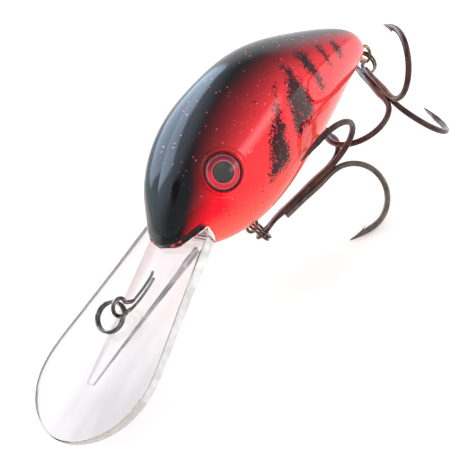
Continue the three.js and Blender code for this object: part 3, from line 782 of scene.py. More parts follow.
def mouth_relief(points):
    """Raised rim round the mouth with a crease above it, and two low swells on the snout."""
    x = points[..., 0]
    along, height = lip_coords(points)
    front = ease(-3.2, -0.6, along)
    rim = ease(-0.6, 0.15, height) * (1 - ease(0.85, 1.12, height))
    crease = bell(height, 1.2, 0.17)
    snout = 0.42 * bell(np.abs(x), 3.3, 1.5) * ease(4.2, 1.0, height) * ease(-1.0, 1.0, along)
    return front * ((0.36 - 0.26 * bell(x, 0, 1.5)) * rim - 0.26 * crease + snout)


def eye_relief(points, side):
    """Soft swell with a groove round it, both fainter on the right."""
    centre, normal = eye_frame(side, pressed=False)
    offset = points - centre
    height = offset @ normal
    radius = np.linalg.norm(offset - height[..., None] * normal, axis=-1)
    swell, groove = (0.38, 1) if side > 0 else (0.02, 0.3)
    relief = swell * (1 - ease(3.72, 4.0, radius)) - 0.14 * bell(radius, 4.12, 0.16) * groove
    return np.where((np.abs(height) < 5) & (np.sign(points[..., 0]) == side), relief, 0)


def build_skin():
    # rows crowd together at the nose, mouth, eyes and tail; columns at the height of the eyes
    stations = spaced(420, lambda x: 1 + 2.2 * bell(x, 0.27, 0.075) + 2.0 * bell(x, 0, 0.1)
                      + 0.6 * bell(x, 1, 0.06))[1:-1]
    left = np.radians(-90 + 180 * spaced(170, lambda x: 1 + 1.5 * bell(x, 0.633, 0.12)))
    angles = np.concatenate([left, np.pi - left[1:-1][::-1]])
    points = oval_grid(stations, angles, *section_at(stations))
    relief = mouth_relief(points)
    for side, _ in SIDES:
        relief = relief + eye_relief(points, side)
    # fuller shoulders on the upper flanks of the head
    degrees = np.degrees(np.where(angles > np.pi / 2, np.pi - angles, angles))[None, :]
    y = points[..., 1]
    relief = relief + 0.52 * bell(degrees, 62, 29) * ease(1.5, 6, y) * ease(26, 13, y)
    points = points + grid_normals(points) * relief[..., None]
    nose = np.array([0, -0.05, TOP_LINE[0]])
    tail = np.array([0, BODY_LENGTH, TOP_LINE[-1]])
    return solid("body", *closed_grid(points, nose, tail))


EYE_BOSS = [(0, -2.6), (0.01, -2.6), (4.5, -2.6), (4.5, 1.5), (0.01, 1.5), (0, 1.5)]
EYE_RIM = [
    (0, -1.7), (0.01, -1.7), (4.12, -1.7), (4.1, -1.0), (4.06, -0.6), (3.98, -0.32),
    (3.88, -0.14), (3.76, -0.04), (3.64, -0.02), (3.52, -0.08), (3.44, -0.2), (0.01, -0.2),
    (0, -0.2),
]
RIGHT_RIM_R = 3.66
EYE_SOCKET = [
    (0, -1.15), (0.01, -1.15), (3.3, -1.15), (3.34, -0.7), (3.38, -0.32), (3.44, -0.16),
    (3.54, 0.1), (3.7, 1.6), (0.01, 1.6), (0, 1.6),
]
# Blocks left solid in the cavity: rattle chamber walls, weight cradles and hanger bosses.
# Each is a middle and a size in x, y, z.
SOLID_BLOCKS = [
    ((0, 26.8, -9.6), (30, 1.2, 6)),
    ((0, 31.6, -9.4), (30, 1.2, 6)),
    ((0, 38.2, -1.9), (30, 18, 1)),
    ((0, 38.2, 4.3), (30, 18, 1)),
    ((0, 29.85, 1.2), (30, 1, 7)),
    ((0, 46.55, 1.2), (30, 1, 7)),
    ((0, 21.3, -11), (5, 5, 9)),
    ((0, 61, 0), (5, 7, 14)),
    ((0, 14.2, -8), (13, 1.4, 14)),
]


def build_cavity():
    stations = np.linspace(CAVITY_START, CAVITY_END, 60)
    angles = np.linspace(0, 2 * np.pi, 64, endpoint=False)
    middle, high, wide = section_at(stations)
    # the ends are rounded off to almost nothing
    span = (stations - CAVITY_START) / (CAVITY_END - CAVITY_START)
    taper = np.maximum(np.sin(np.pi * span), 1e-4) ** 0.45
    taper[0] = taper[-1] = 0.05
    grid = oval_grid(stations, angles, middle, (high - WALL) * taper, (wide - WALL) * taper)
    y = station_y(stations)
    ends = [0, y[0] - 0.05, middle[0]], [0, y[-1] + 0.05, middle[-1]]
    cavity = solid("cavity", *closed_grid(grid, *ends))
    for side, _ in SIDES:
        boss = solid("boss", *lathe(EYE_BOSS, *eye_frame(side, pressed=False), 48))
        boolean(cavity, boss, "DIFFERENCE")
    for centre, size in SOLID_BLOCKS:
        spans = [(c - s / 2, c + s / 2) for c, s in zip(centre, size)]
        boolean(cavity, box("rib", *spans), "DIFFERENCE")
    return cavity


def build_body():
    body = build_skin()
    boolean(body, build_cavity(), "DIFFERENCE")
    for side, _ in SIDES:
        rim = EYE_RIM
        if side < 0:
            rim = [(min(radius, RIGHT_RIM_R), height) for radius, height in EYE_RIM]
        boolean(body, solid("rim", *lathe(rim, *eye_frame(side), 128)), "UNION")
        socket = solid("socket", *lathe(EYE_SOCKET, *eye_frame(side), 128))
        boolean(body, socket, "DIFFERENCE")
    # the chin is cut away under the lip's top face, then the slot for its tang
    mouth = lip_box("mouth", 14, along=(-1.2, 12), heights=(-14, 0.12))
    boolean(body, mouth, "DIFFERENCE")
    slot = lip_box(
        "slot", TANG_HALF + SLOT_CLEARANCE, along=(-(TANG_LENGTH + SLOT_END_CLEARANCE), 2),
        heights=(-(LIP_THICK_ROOT + SLOT_CLEARANCE), SLOT_CLEARANCE))
    boolean(body, slot, "DIFFERENCE")
    hangers = ((BELLY_HANGER_AT, BELLY_HANGER_IN), (TAIL_HANGER_AT, TAIL_HANGER_IN))
    for centre, inward in hangers:
        line = np.array([centre + inward * depth for depth in np.linspace(0.6, 4.0, 6)])
        boolean(body, solid("hole", *sweep(line, 0.62, 20, cap=0.1)), "DIFFERENCE")
    return body


# ---------------------------------------------------------------- body paint
# Dark bars: outline as (mm along the body, degrees up the flank), then a density offset.
BARS = [
    ([(19.6, -17), (19.4, -9), (20.1, -3), (20.8, 5), (22.0, 10.5), (23.4, 14.5), (25.4, 19.5),
      (26.4, 25), (28.3, 28), (27.6, 21), (26.7, 16), (26.9, 9), (25.8, 2), (26.0, -8),
      (25.5, -17), (23, -16.5)], 0.0),
    ([(26.8, 26), (27.4, 33), (29.2, 40), (30.8, 37), (29.4, 29), (28.2, 26)], -0.75),
    ([(29.1, -6.8), (29.2, 5.5), (30.1, 16.5), (30.8, 23), (32.2, 29), (33.4, 34.5),
      (34.1, 43.5), (35.6, 37), (35.5, 26), (36.2, 17), (36.5, 5), (36.3, -3.5), (35.4, -7.5),
      (33.5, -7), (31.6, -7.5), (30.4, -11)], 0.0),
    ([(29.4, 44), (29.7, 52), (30.4, 58), (31.2, 55), (30.8, 46)], -0.85),
    ([(33.7, 43), (34.0, 52), (34.8, 51), (35.2, 43)], -0.8),
    ([(38.8, 30), (38.6, 41), (39.6, 47), (40.4, 50), (42.2, 44), (42.1, 26), (42.3, 10),
      (42.0, 1), (40.6, 3), (40.1, 13), (39.5, 23)], -0.1),
    ([(45.7, 43), (46.6, 47), (48.0, 42), (47.9, 26), (47.6, 14), (46.6, 11), (46.2, 20),
      (45.9, 34)], -0.25),
    ([(50.6, 39), (51.4, 45), (53.3, 43), (53.8, 27), (53.1, 13), (51.7, 10), (50.9, 18),
      (50.6, 30)], -0.3),
    ([(55.8, 31), (56.0, 38), (57.6, 38), (57.8, 31)], -0.7),
    ([(21.6, 20), (21.6, 36), (22.4, 38), (22.5, 20)], -0.85),
    ([(23.2, 33), (23.4, 42), (24.4, 42), (24.3, 33)], -0.95),
]
MM_PER_DEGREE = 0.185  # near enough on the flank
# Edge of the black back: y, then its angle up the flank in degrees
BACK_EDGE = ([0, 1.2, 2.4, 3.6, 5, 8, 12, 16, 20, 30, 45, 55, 66],
             [-70, -40, -17, -2, 10, 28, 41, 45, 48, 49, 51, 53, 56])
# Width of its soft edge: y, then degrees
BACK_FADE = ([0, 3, 8, 14, 30, 45, 66], [30, 30, 27, 25, 20, 20, 16])
# How much higher the fully black part starts: y, then degrees
BACK_DELAY = ([0, 4, 9, 15], [26, 24, 14, 0])
FLANK_DEEP, FLANK_RED = np.array([0.46, 0.013, 0.024]), np.array([0.92, 0.042, 0.050])
CHEEK, BELLY = np.array([0.95, 0.0045, 0.020]), np.array([1.0, 0.150, 0.095])
BLACK, BARE_PLASTIC = np.array([0.0050, 0.0050, 0.0056]), np.array([0.86, 0.72, 0.72])
# Rubbed spots on the nose: x, height above the lip plane, half width
RUBBED_SPOTS = ((-3.4, 0.80, 0.25), (-2.4, 0.92, 0.4), (0.2, 0.86, 0.5), (2.6, 0.92, 0.6),
                (3.9, 1.0, 0.3))


def outline_distance(x, y, outline):
    """Signed distance to an outline, positive inside."""
    distance = np.full(x.shape, 1e9)
    inside = np.zeros(x.shape, bool)
    for (x1, y1), (x2, y2) in zip(outline, outline[1:] + outline[:1]):
        run, rise = x2 - x1, y2 - y1
        share = ((x - x1) * run + (y - y1) * rise) / (run * run + rise * rise)
        share = np.clip(share, 0, 1)
        distance = np.minimum(distance, np.hypot(x - x1 - share * run, y - y1 - share * rise))
        crosses = (y1 > y) != (y2 > y)
        inside ^= crosses & (x < x1 + (y - y1) * run / (rise if rise != 0 else 1e-9))
    return np.where(inside, distance, -distance)


def blend(first, second, share):
    share = share[:, None]
    return first * (1 - share) + second * share


def black_back(y, angle):
    edge, fade = np.interp(y, *BACK_EDGE), np.interp(y, *BACK_FADE)
    delay = np.interp(y, *BACK_DELAY)
    soft = ease(-1, 1, (angle - edge) / fade)
    return np.maximum(soft, 0.97 * ease(edge + 2 + delay, edge + 26 + delay, angle))


def paint_attributes(mesh):
    points = design_points(mesh)
    x = points[:, 0]
    y = np.clip(points[:, 1], 0, BODY_LENGTH)
    station = np.arccos(np.clip(1 - 2 * y / BODY_LENGTH, -1, 1)) / np.pi
    middle, high, wide = section_at(station)
    high, wide = np.maximum(high, 0.05), np.maximum(wide, 0.05)
    angle = np.degrees(np.arctan2((points[:, 2] - middle) / high, np.abs(x) / wide))
    along, height = lip_coords(points)

    back = black_back(y, angle)
    colour = blend(FLANK_DEEP, FLANK_RED, ease(60, 4, angle))
    colour = blend(colour, CHEEK, ease(11.5, 8.5, y) * ease(-22, -4, angle))
    colour = blend(colour, BELLY, ease(0, -54, angle))
    colour = blend(colour, BLACK, back**0.75)
    jaw = ease(1.35, 1.05, height) * ease(-1.6, -0.7, along) * (height > -0.3)
    colour = blend(colour, BLACK, jaw)
    # faces cut for the lip and its tang are bare plastic
    chin = (along > -1.45) & (height < 0.05) & (along < -0.9)
    slot = ((np.abs(x) < TANG_HALF + 0.4) & (height < 0.2) & (height > -2.6)
            & (along < 0.5) & (along > -9.6))
    under = (height < 0.2) & (along > -0.9)
    bare = (chin | slot | under).astype(float)
    colour = blend(colour, BARE_PLASTIC, bare)
    colour_attribute(mesh, "base", colour)
    # this mask also gives these faces a painted glow in the paint, lifting their shade
    float_attribute(mesh, "bare", bare)
    float_attribute(mesh, "black", np.maximum(back, jaw))

    bar = np.full(len(points), -3.0)
    for outline, density in BARS:
        outline = [(a, b * MM_PER_DEGREE) for a, b in outline]
        bar = np.maximum(bar, outline_distance(y, angle * MM_PER_DEGREE, outline) + density)
    float_attribute(mesh, "bar", bar)
    float_attribute(mesh, "edge", ease(0.52, 0.30, height) * (along > -1.3) * (height > 0.05))
    float_attribute(mesh, "speck", ease(2, -12, angle) * ease(5.5, 7, y))
    wear = np.zeros(len(points))
    for spot_x, spot_height, half in RUBBED_SPOTS:
        spot = np.exp(-(((x - spot_x) / half) ** 2) - ((height - spot_height) / 0.11) ** 2)
        wear = np.maximum(wear, spot * (along > 0))
    float_attribute(mesh, "wear", wear)
    float_attribute(mesh, "flakes", ease(5, 9, y) * ease(-40, -10, angle) * (1 - bare))


def build_shells():
    body = build_body()
    for side, name in SIDES:
        shell = make_object(name + "_shell_painted", body.data.copy())
        middle = side * (20.0 + SEAM_GAP)
        half_space = box("cut", (middle - 20, middle + 20), (-17, 83), (-40, 40))
        boolean(shell, half_space, "INTERSECT")
        paint_attributes(shell.data)
        put(shell, "lure_body", PAINT, name + "_body_shell", sharp=38)
    bpy.data.objects.remove(body)


build_shells()


# ---------------------------------------------------------------- eyes
EYE_R, DISC_R = 3.2, 3.15


def lens_profile():
    profile = [(0, -0.42), (0.01, -0.42), (3.14, -0.42), (EYE_R, -0.38)]
    for radius in np.linspace(EYE_R, 0.0, 40)[:-1]:
        profile.append((max(radius, 0.01), -0.30 + 0.78 * (1 - (radius / EYE_R) ** 2.2)))
    return profile + [(0, 0.48)]


def iris_profile():
    """Disc with a slightly dished face."""
    profile = [(0, -0.95), (0.01, -0.95), (3.1, -0.95), (EYE_R, -0.88), (EYE_R, -0.66)]
    for radius in np.linspace(DISC_R, 0, 60)[:-1]:
        profile.append((max(radius, 0.01), -0.62 - 0.05 * (1 - (radius / DISC_R) ** 2)))
    return profile + [(0, -0.67)]


for side, name in SIDES:
    centre, normal = eye_frame(side)
    lens = solid(name + "_eye_lens_clear", *lathe(lens_profile(), centre, normal))
    put(lens, "lure_body", CLEAR_LENS, name + "_eye_lens", sharp=60)
    iris = solid(name + "_eye_iris_printed", *lathe(iris_profile(), centre, normal))
    offset = design_points(iris.data) - centre
    height = offset @ normal
    radius = np.linalg.norm(offset - height[:, None] * normal, axis=1)
    float_attribute(iris.data, "radius", radius)
    float_attribute(iris.data, "up", offset @ square_to([0, 0.35, 1], normal))
    put(iris, "lure_body", IRIS, name + "_eye_iris", sharp=50)


# ---------------------------------------------------------------- diving lip
def lip_thick(along):
    share = np.clip(along / LIP_LENGTH, 0, 1)
    return LIP_THICK_ROOT + (LIP_THICK_TIP - LIP_THICK_ROOT) * share


def lip_outline():
    """(x, along) round the lip, evenly spaced between the two root corners it keeps."""
    share = np.linspace(0, 1, 160)
    along = LIP_LENGTH * np.sin(np.pi / 2 * share)
    one_side = np.column_stack([np.maximum(lip_half_at(share), 0), along])
    rim = np.concatenate([one_side, one_side[-2::-1] * [-1, 1]])
    run = np.concatenate([[0], np.cumsum(np.hypot(*np.diff(rim, axis=0).T))])
    even = np.linspace(0, run[-1], 360)
    rim = np.stack([np.interp(even, run, rim[:, k]) for k in range(2)], -1)
    root = np.stack([np.linspace(rim[-1, 0], rim[0, 0], 26)[1:-1], np.zeros(24)], -1)
    return np.concatenate([rim, root])


def lip_plate():
    outline = lip_outline()
    tangent = np.roll(outline, -1, axis=0) - np.roll(outline, 1, axis=0)
    inward = np.stack([-tangent[:, 1], tangent[:, 0]], -1)
    inward /= np.maximum(np.linalg.norm(inward, axis=1)[:, None], 1e-9)
    if ((outline.mean(axis=0) - outline) * inward).sum() < 0:
        inward = -inward
    # rounded edge: (inset, drop) from the flat face to the side wall
    edge = [(0.62, 0.0), (0.48, 0.0)]
    for k in range(1, 7):
        angle = math.pi / 2 * k / 6
        edge.append((LIP_EDGE_R * (1 - math.sin(angle)), LIP_EDGE_R * (1 - math.cos(angle))))
    rings = []
    for inset, drop in edge:
        rings.append([lip_point(x, along, -drop) for x, along in outline + inward * inset])
    for inset, drop in edge[::-1]:
        ring = outline + inward * inset
        rings.append([lip_point(x, along, -lip_thick(along) + drop) for x, along in ring])
    return solid("lip", *capped_grid(rings))


def lip_rib():
    """Tapering spine under the plate, with softened edges."""
    rings = []
    low_root = LIP_THICK_ROOT + RIB_DEPTH
    low_end = lip_thick(RIB_END) + 0.25
    for share in np.arange(60) / 59:
        along = RIB_START + (RIB_END - RIB_START) * share
        half = RIB_HALF_START + (RIB_HALF_END - RIB_HALF_START) * share
        low = low_root + (low_end - LIP_THICK_ROOT - RIB_DEPTH) * share
        high = lip_thick(along) - 0.3  # sunk into the plate
        edge = min(0.42, 0.35 * half, 0.42 * (low - high))
        corner = []
        for i in range(6):
            angle = math.pi / 2 * i / 5
            x = -half * 0.70 + edge * (1 - math.cos(angle)) - 0.25 * half * (1 - i / 5) * 0.5
            corner.append((x, -low + edge * (1 - math.sin(angle))))
        mirrored = [(-x, z) for x, z in corner[::-1]]
        section = [(-half, -high)] + corner + mirrored + [(half, -high)]
        rings.append([lip_point(x, along, z) for x, z in section])
    return solid("rib", *capped_grid(rings))


def build_lip():
    lip = lip_plate()
    tang = lip_box("tang", TANG_HALF, along=(-TANG_LENGTH, 2),
                   heights=(-LIP_THICK_ROOT + 0.02, -0.02))
    boolean(lip, tang, "UNION")
    boolean(lip, lip_rib(), "UNION")
    points = design_points(lip.data)
    x = points[:, 0]
    along, _ = lip_coords(points)
    station = np.arcsin(np.clip(along / LIP_LENGTH, 0, 1)) / (np.pi / 2)
    edge = np.maximum(lip_half_at(station), 0.01) - np.abs(x)
    near_tip = np.maximum(ease(29.0, 29.6, along) * (x > 0), ease(32, 35, along))
    float_attribute(lip.data, "wall", ease(0.34, 0.08, edge) * (along > 0.3))
    float_attribute(lip.data, "scuff", ease(1.0, 0.25, edge) * near_tip)
    float_attribute(lip.data, "root", ease(16, -1, along))
    put(lip, "lure_body", CLEAR_LIP, "diving_lip", sharp=30)
    lip.name = "diving_lip_clear"


build_lip()

# ---------------------------------------------------------------- line tie
# Wire ends on either side of the eye, as (x, along, height) in the lip's frame
TIE_START = [(-0.45, 8.6, -1.35), (-0.5, 8.9, -1.8), (-0.42, 10.2, -1.7), (-0.4, 12.6, -1.05),
             (-0.38, 14.6, -0.1)]
TIE_END = [(0.4, 14.9, -0.75), (0.4, 12.9, -1.55), (0.42, 10.9, -1.85), (0.45, 9.6, -1.8)]
TIE_EYE = lip_point(0, TIE_EYE_ALONG, TIE_EYE_RISE)


def build_line_tie():
    path = [lip_point(*point) for point in TIE_START]
    for k in range(13):
        angle = math.radians(205 - 300 * k / 12)
        path.append(
            TIE_EYE + LIP_ALONG * TIE_EYE_R * math.cos(angle)
            + LIP_UP * TIE_EYE_R * math.sin(angle) + np.array([-0.36 + 0.72 * k / 12, 0, 0]))
    path += [lip_point(*point) for point in TIE_END]
    points, _ = catmull(path, 240)
    tie = solid("line_tie_wire_bent", *sweep(points, TIE_WIRE_R))
    put(tie, "lure_body", NICKEL, "line_tie_wire", sharp=50)


build_line_tie()


# ---------------------------------------------------------------- split rings
def ring_section(angles, share):
    """Wire slightly flattened where the turns lie together."""
    return squared_section(angles, 2.2)


def split_ring(node, centre, normal, phase, thinning, material, body):
    """Almost two turns of wire; phase is the starting angle in radians."""
    axis = unit(normal)
    first = square_to([1, 0, 0], axis)
    second = np.cross(axis, first)
    points = []
    for share in np.arange(420) / 419:
        angle = phase + RING_TURNS * 2 * math.pi * share
        # an even spiral drawn a little towards two flat turns joined by a short step
        spiral = (share - 0.5) * RING_PITCH * RING_TURNS
        flat = RING_PITCH * (ease(0.42, 0.58, share) - 0.5)
        points.append(
            centre + first * RING_R * math.cos(angle) + second * RING_R * math.sin(angle)
            + axis * (0.8 * spiral + 0.2 * flat))
    tube = sweep(points, RING_WIRE_R * thinning, 16, ring_section, cap=0.12, start_normal=axis)
    put(solid(node + "_wire", *tube), body, material, node, sharp=50)


tie_ring_normal = unit([0.25, -0.6, 0.76])
tie_ring_hang = square_to(unit([-0.53, -0.74, -0.42]), tie_ring_normal)
split_ring("line_tie_split_ring", TIE_EYE + tie_ring_hang * (RING_R - 0.3), tie_ring_normal,
           phase=0.6, thinning=0.96, material=NICKEL, body="line_ring")
split_ring("belly_split_ring", np.array([0.34, 21.92, -17.18]), unit([-0.445, -0.772, -0.454]),
           phase=2.0, thinning=0.92, material=DARK_RING, body="belly_ring")
split_ring("tail_split_ring", np.array([-1.25, 67.5, -4.35]), unit([0.05, -0.99, -0.1]),
           phase=2.0, thinning=0.96, material=TAIL_RING, body="tail_ring")


# ---------------------------------------------------------------- hangers
def build_hanger(node, centre, inward, thinning, material):
    """One wire bent round an outer eye, its two legs side by side into the body."""
    side = np.array([1.0, 0, 0])
    across = np.cross(inward, side)
    gap = 0.30  # from the middle plane to each leg
    lean = across * 0.05
    path = [centre + inward * depth - side * gap for depth in (6.3, 4.2)]
    path.append(centre + inward * 2.9 - side * gap + lean)
    for k in range(15):
        angle = math.radians(35 + 290 * k / 14)
        path.append(
            centre + inward * HANGER_EYE_R * math.cos(angle)
            + across * HANGER_EYE_R * math.sin(angle) + side * (-gap + 2 * gap * k / 14))
    path.append(centre + inward * 2.9 + side * gap - lean)
    path += [centre + inward * depth + side * gap for depth in (4.2, 6.3)]
    points, _ = catmull(path, 200)
    hanger = solid(node + "_wire", *sweep(points, HANGER_WIRE_R * thinning, 18))
    put(hanger, "lure_body", material, node, sharp=50)


build_hanger("belly_hanger", BELLY_HANGER_AT, BELLY_HANGER_IN, thinning=0.80,
             material=DARK_BRASS)
build_hanger("tail_hanger", TAIL_HANGER_AT, TAIL_HANGER_IN, thinning=0.97, material=BRASS)


# ---------------------------------------------------------------- treble hooks
# In these functions `shank` is the direction from the eye to the bend, `out` that of a point.
HOOK_OUTER = HOOK_SPREAD + HOOK_GAPE


def hook_path(eye, shank, out):
    """From the middle of the shank round the bend to the point."""
    path = [
        eye + shank * (HOOK_SHANK * 0.55) + out * HOOK_SPREAD,
        eye + shank * (HOOK_SHANK * 0.8) + out * (HOOK_SPREAD + 0.12),
    ]
    for k in range(11):
        angle = math.pi * (1 - k / 10)
        pull = 0.1 * (1 - k / 10) ** 2
        along = HOOK_SHANK - pull * 2 + HOOK_BEND * math.sin(angle)
        reach = HOOK_SPREAD + HOOK_GAPE / 2 + HOOK_GAPE / 2 * math.cos(angle)
        path.append(eye + shank * along + out * reach)
    for k in (0.33, 0.66, 1):
        reach = HOOK_OUTER - HOOK_POINT_IN * k**1.4
        path.append(eye + shank * (HOOK_SHANK - HOOK_POINT * k) + out * reach)
    return path


def barb(eye, shank, out):
    """Sliver on the inside of the wire, lifted and pointing back towards the eye's side."""
    root = (eye + shank * (HOOK_SHANK - HOOK_POINT * 0.72)
            + out * (HOOK_OUTER - HOOK_POINT_IN * 0.62 - 0.15))
    tip = (eye + shank * (HOOK_SHANK - HOOK_POINT * 0.32)
           + out * (HOOK_OUTER - HOOK_POINT_IN * 0.16 - 1.12))
    side = np.cross(shank, out)
    normal = unit(np.cross(side, unit(tip - root)))
    angles = np.linspace(0, 2 * np.pi, 12, endpoint=False)
    rings = []
    for share in np.linspace(0, 1, 12):
        centre = root + (tip - root) * share + normal * 0.10 * math.sin(math.pi * share)
        wide = 0.40 * (1 - share) ** 0.7 + 0.015
        thick = 0.26 * (1 - share) ** 0.8 + 0.012
        rings.append([centre + side * wide * math.cos(a) + normal * thick * math.sin(a)
                      for a in angles])
    return solid("barb", *capped_grid(rings))


def hook_taper(distance):
    """Share of the wire's radius at a distance from its sharp end."""
    return max(0.03, min(1.0, (distance / HOOK_TAPER) ** 0.58))


def hook_section(total, ends):
    """Round wire that turns to a flat-sided cutting point at the given ends."""

    def section(angles, share):
        near = min(abs(share - end) * total for end in ends)
        return squared_section(angles, 2.0 - 0.75 * max(0.0, 1 - near / HOOK_TAPER))

    return section


def hook_attributes(mesh, eye, shank, outs):
    points = design_points(mesh)
    along = (points - eye) @ shank
    radius = np.linalg.norm((points - eye) - along[:, None] * shank, axis=1)
    braze = ease(12.6, 14.4, along) * ease(19.5, 17.2, along) * ease(1.75, 1.1, radius) * 0.75
    float_attribute(mesh, "braze", braze)
    sharp = np.zeros(len(points))
    for out in outs:
        tip = eye + shank * (HOOK_SHANK - HOOK_POINT) + out * (HOOK_OUTER - HOOK_POINT_IN)
        sharp = np.maximum(sharp, ease(5.0, 1.0, np.linalg.norm(points - tip, axis=1)))
    float_attribute(mesh, "point", sharp)


def build_hook(name, body, eye, shank, outs, points, radius, section, material):
    tube = sweep(points, radius, 24, section, cap=0.15, start_normal=np.cross(shank, outs[0]))
    hook = solid(name, *tube)
    for out in outs:
        boolean(hook, barb(eye, shank, out), "UNION")
    hook_attributes(hook.data, eye, shank, outs)
    put(hook, body, material, name + "_hook", sharp=42)


def single_hook(body, eye, shank, out, material):
    start = 5.4
    lead = [eye + shank * along + out * HOOK_SPREAD
            for along in (start, (start + HOOK_SHANK * 0.55) / 2)]
    points, total = catmull(lead + hook_path(eye, shank, out), 300)

    def radius(share):
        return HOOK_WIRE_R * hook_taper((1 - share) * total)

    build_hook(body + "_single", body, eye, shank, [out], points, radius,
               hook_section(total, [1.0]), material)


def double_hook(body, eye, shank, outs):
    """Two points on one wire that loops round the eye."""
    across, between = unit(outs[0] - outs[1]), unit(outs[0] + outs[1])
    back, side = HOOK_SPREAD * 0.5, HOOK_SPREAD * math.sin(math.pi / 3)

    def point(along, aside, behind):
        return eye + shank * along + across * aside + between * behind

    loop = [point(5.0, side, back), point(3.2, side, back * 0.9)]
    for k in range(13):
        angle = math.radians(40 + 280 * k / 12)
        loop.append(point(HOOK_EYE_R * math.cos(angle), HOOK_EYE_R * math.sin(angle),
                          back * 0.25 * abs(math.cos(angle / 2))))
    loop += [point(3.2, -side, back * 0.9), point(5.0, -side, back)]
    first, second = [hook_path(eye, shank, out) for out in outs]
    points, total = catmull(first[::-1] + loop + second, 760)

    def radius(share):
        """Thinner wire within 5 mm of the loop's middle, full from 8 mm."""
        middle = abs(share - 0.5) * total
        wire = np.interp(middle, (5, 8), (HOOK_EYE_WIRE_R, HOOK_WIRE_R))
        return wire * hook_taper(min(share, 1 - share) * total)

    build_hook(body + "_double", body, eye, shank, outs, points, radius,
               hook_section(total, [0.0, 1.0]), HOOK)


def turn(vector, axis, degrees):
    angle = math.radians(degrees)
    return (vector * math.cos(angle) + np.cross(axis, vector) * math.sin(angle)
            + axis * (axis @ vector) * (1 - math.cos(angle)))


def treble(body, eye, shank, outs, roll, single_material):
    """The first direction in outs is the single hook's, the others the double's."""
    outs = [turn(square_to(out, shank), shank, roll) for out in outs]
    double_hook(body, eye, shank, outs[1:])
    single_hook(body, eye, shank, outs[0], single_material)


treble("belly_treble", eye=np.array([-0.51, 23.64, -19.04]), shank=unit([0.331, 0.906, 0.264]),
       outs=[(0.462, 0.088, -0.882), (0.481, -0.403, 0.779), (-0.944, 0.314, 0.104)],
       roll=0.0, single_material=LIGHT_HOOK)
treble("tail_treble", eye=np.array([-3.3, 67.4, -4.2]), shank=unit([0.789, -0.588, -0.179]),
       outs=[(0.282, 0.087, 0.956), (0.333, 0.652, -0.681), (-0.614, -0.74, -0.275)],
       roll=-3, single_material=HOOK)


# ---------------------------------------------------------------- inside
def rattle_ball(number, y):
    """Steel ball with a faint groove round its middle."""
    profile = [(0, -BALL_R)]
    for k in range(1, 40):
        angle = math.pi * k / 40
        radius = BALL_R - 0.02 * bell(angle, math.pi / 2, 0.05)
        profile.append((radius * math.sin(angle), -radius * math.cos(angle)))
    profile.append((0, BALL_R))
    shape = lathe(profile, np.array([0, y, BALL_Z]), [1, 0, 0], 64)
    ball = solid("rattle_ball_%d_steel" % number, *shape)
    put(ball, "rattle_%d" % number, STEEL, "rattle_ball_%d" % number, sharp=60)


def ballast_weight():
    """Round-ended cylinder lying along the body."""
    radius, half = 2.0, 2.7
    dome = [math.pi / 2 * k / 16 for k in range(1, 16)]
    profile = [(0, -(half + radius))]
    profile += [(radius * math.sin(a), -half - radius * math.cos(a)) for a in dome]
    for height in np.linspace(-half, half, 12):
        profile.append((radius - 0.03 * math.cos(height * 3), height))
    profile += [(radius * math.sin(a), half + radius * math.cos(a)) for a in dome[::-1]]
    profile.append((0, half + radius))
    shape = lathe(profile, np.array([0, 29.2, -8.0]), [0, 1, 0], 64)
    weight = solid("ballast_weight_cast", *shape)
    put(weight, "lure_body", LEAD, "ballast_weight", sharp=60)


for number, y in enumerate(BALL_YS, 1):
    rattle_ball(number, y)
ballast_weight()


# ---------------------------------------------------------------- floor
def floor_material():
    net = material_nodes("pale_floor")
    cloud = net.noise(scale=0.05, detail=2.0, rough=0.5)
    colour = net.mix(cloud * 0.02, (0.94, 0.94, 0.94), (0.90, 0.90, 0.90))
    camera, glossy, transmission = net.outs(
        "LightPath", ("Is Camera Ray", "Is Glossy Ray", "Is Transmission Ray"))
    # the floor on the near side is dark, but only in reflections
    x, y, _ = net.xyz(net.out("NewGeometry", output="Position"))
    near = (x * 0.79 - y * 0.62).step(off=-0.05, on=0.03)
    mirror = glossy * (1.0 - transmission)
    colour = net.mix(mirror * near * 0.85, colour, (0.05, 0.05, 0.052))
    return net.finish(net.principled(
        Base_Color=colour,
        Roughness=0.9,
        Specular_IOR_Level=0.0,
        Emission_Color=(1.0, 0.99, 0.99),
        Emission_Strength=net.math("MAXIMUM", camera, 0.0) * 0.10,
    ))


def build_floor():
    half, z = 4.0, -0.0002  # metres
    corners = [(-half, -half, z), (half, -half, z), (half, half, z), (-half, half, z)]
    mesh = bpy.data.meshes.new("floor")
    mesh.from_pydata(corners, [], [[0, 1, 2, 3]])
    mesh.update()
    floor = make_object("floor", mesh)
    mesh.materials.append(floor_material())


build_floor()


# ---------------------------------------------------------------- world
# Sky colours by height, from straight down (0) to straight up (1)
SKY = [(0.0, (0.85, 0.85, 0.86)), (0.47, (0.50, 0.50, 0.52)),
       (0.62, (0.32, 0.33, 0.35)), (1.0, (0.28, 0.29, 0.32))]
SKY_THROUGH_CLEAR = [(0.0, (1.25, 1.25, 1.25)), (0.45, (1.15, 1.14, 1.15)),
                     (0.6, (0.95, 0.94, 0.95)), (1.0, (0.80, 0.79, 0.80))]


def direction(azimuth, elevation):
    """Unit vector; azimuth in degrees from -Y towards +X."""
    across, rise = math.radians(azimuth), math.radians(elevation)
    level = math.cos(rise)
    return np.array([math.sin(across) * level, -math.cos(across) * level, math.sin(rise)])


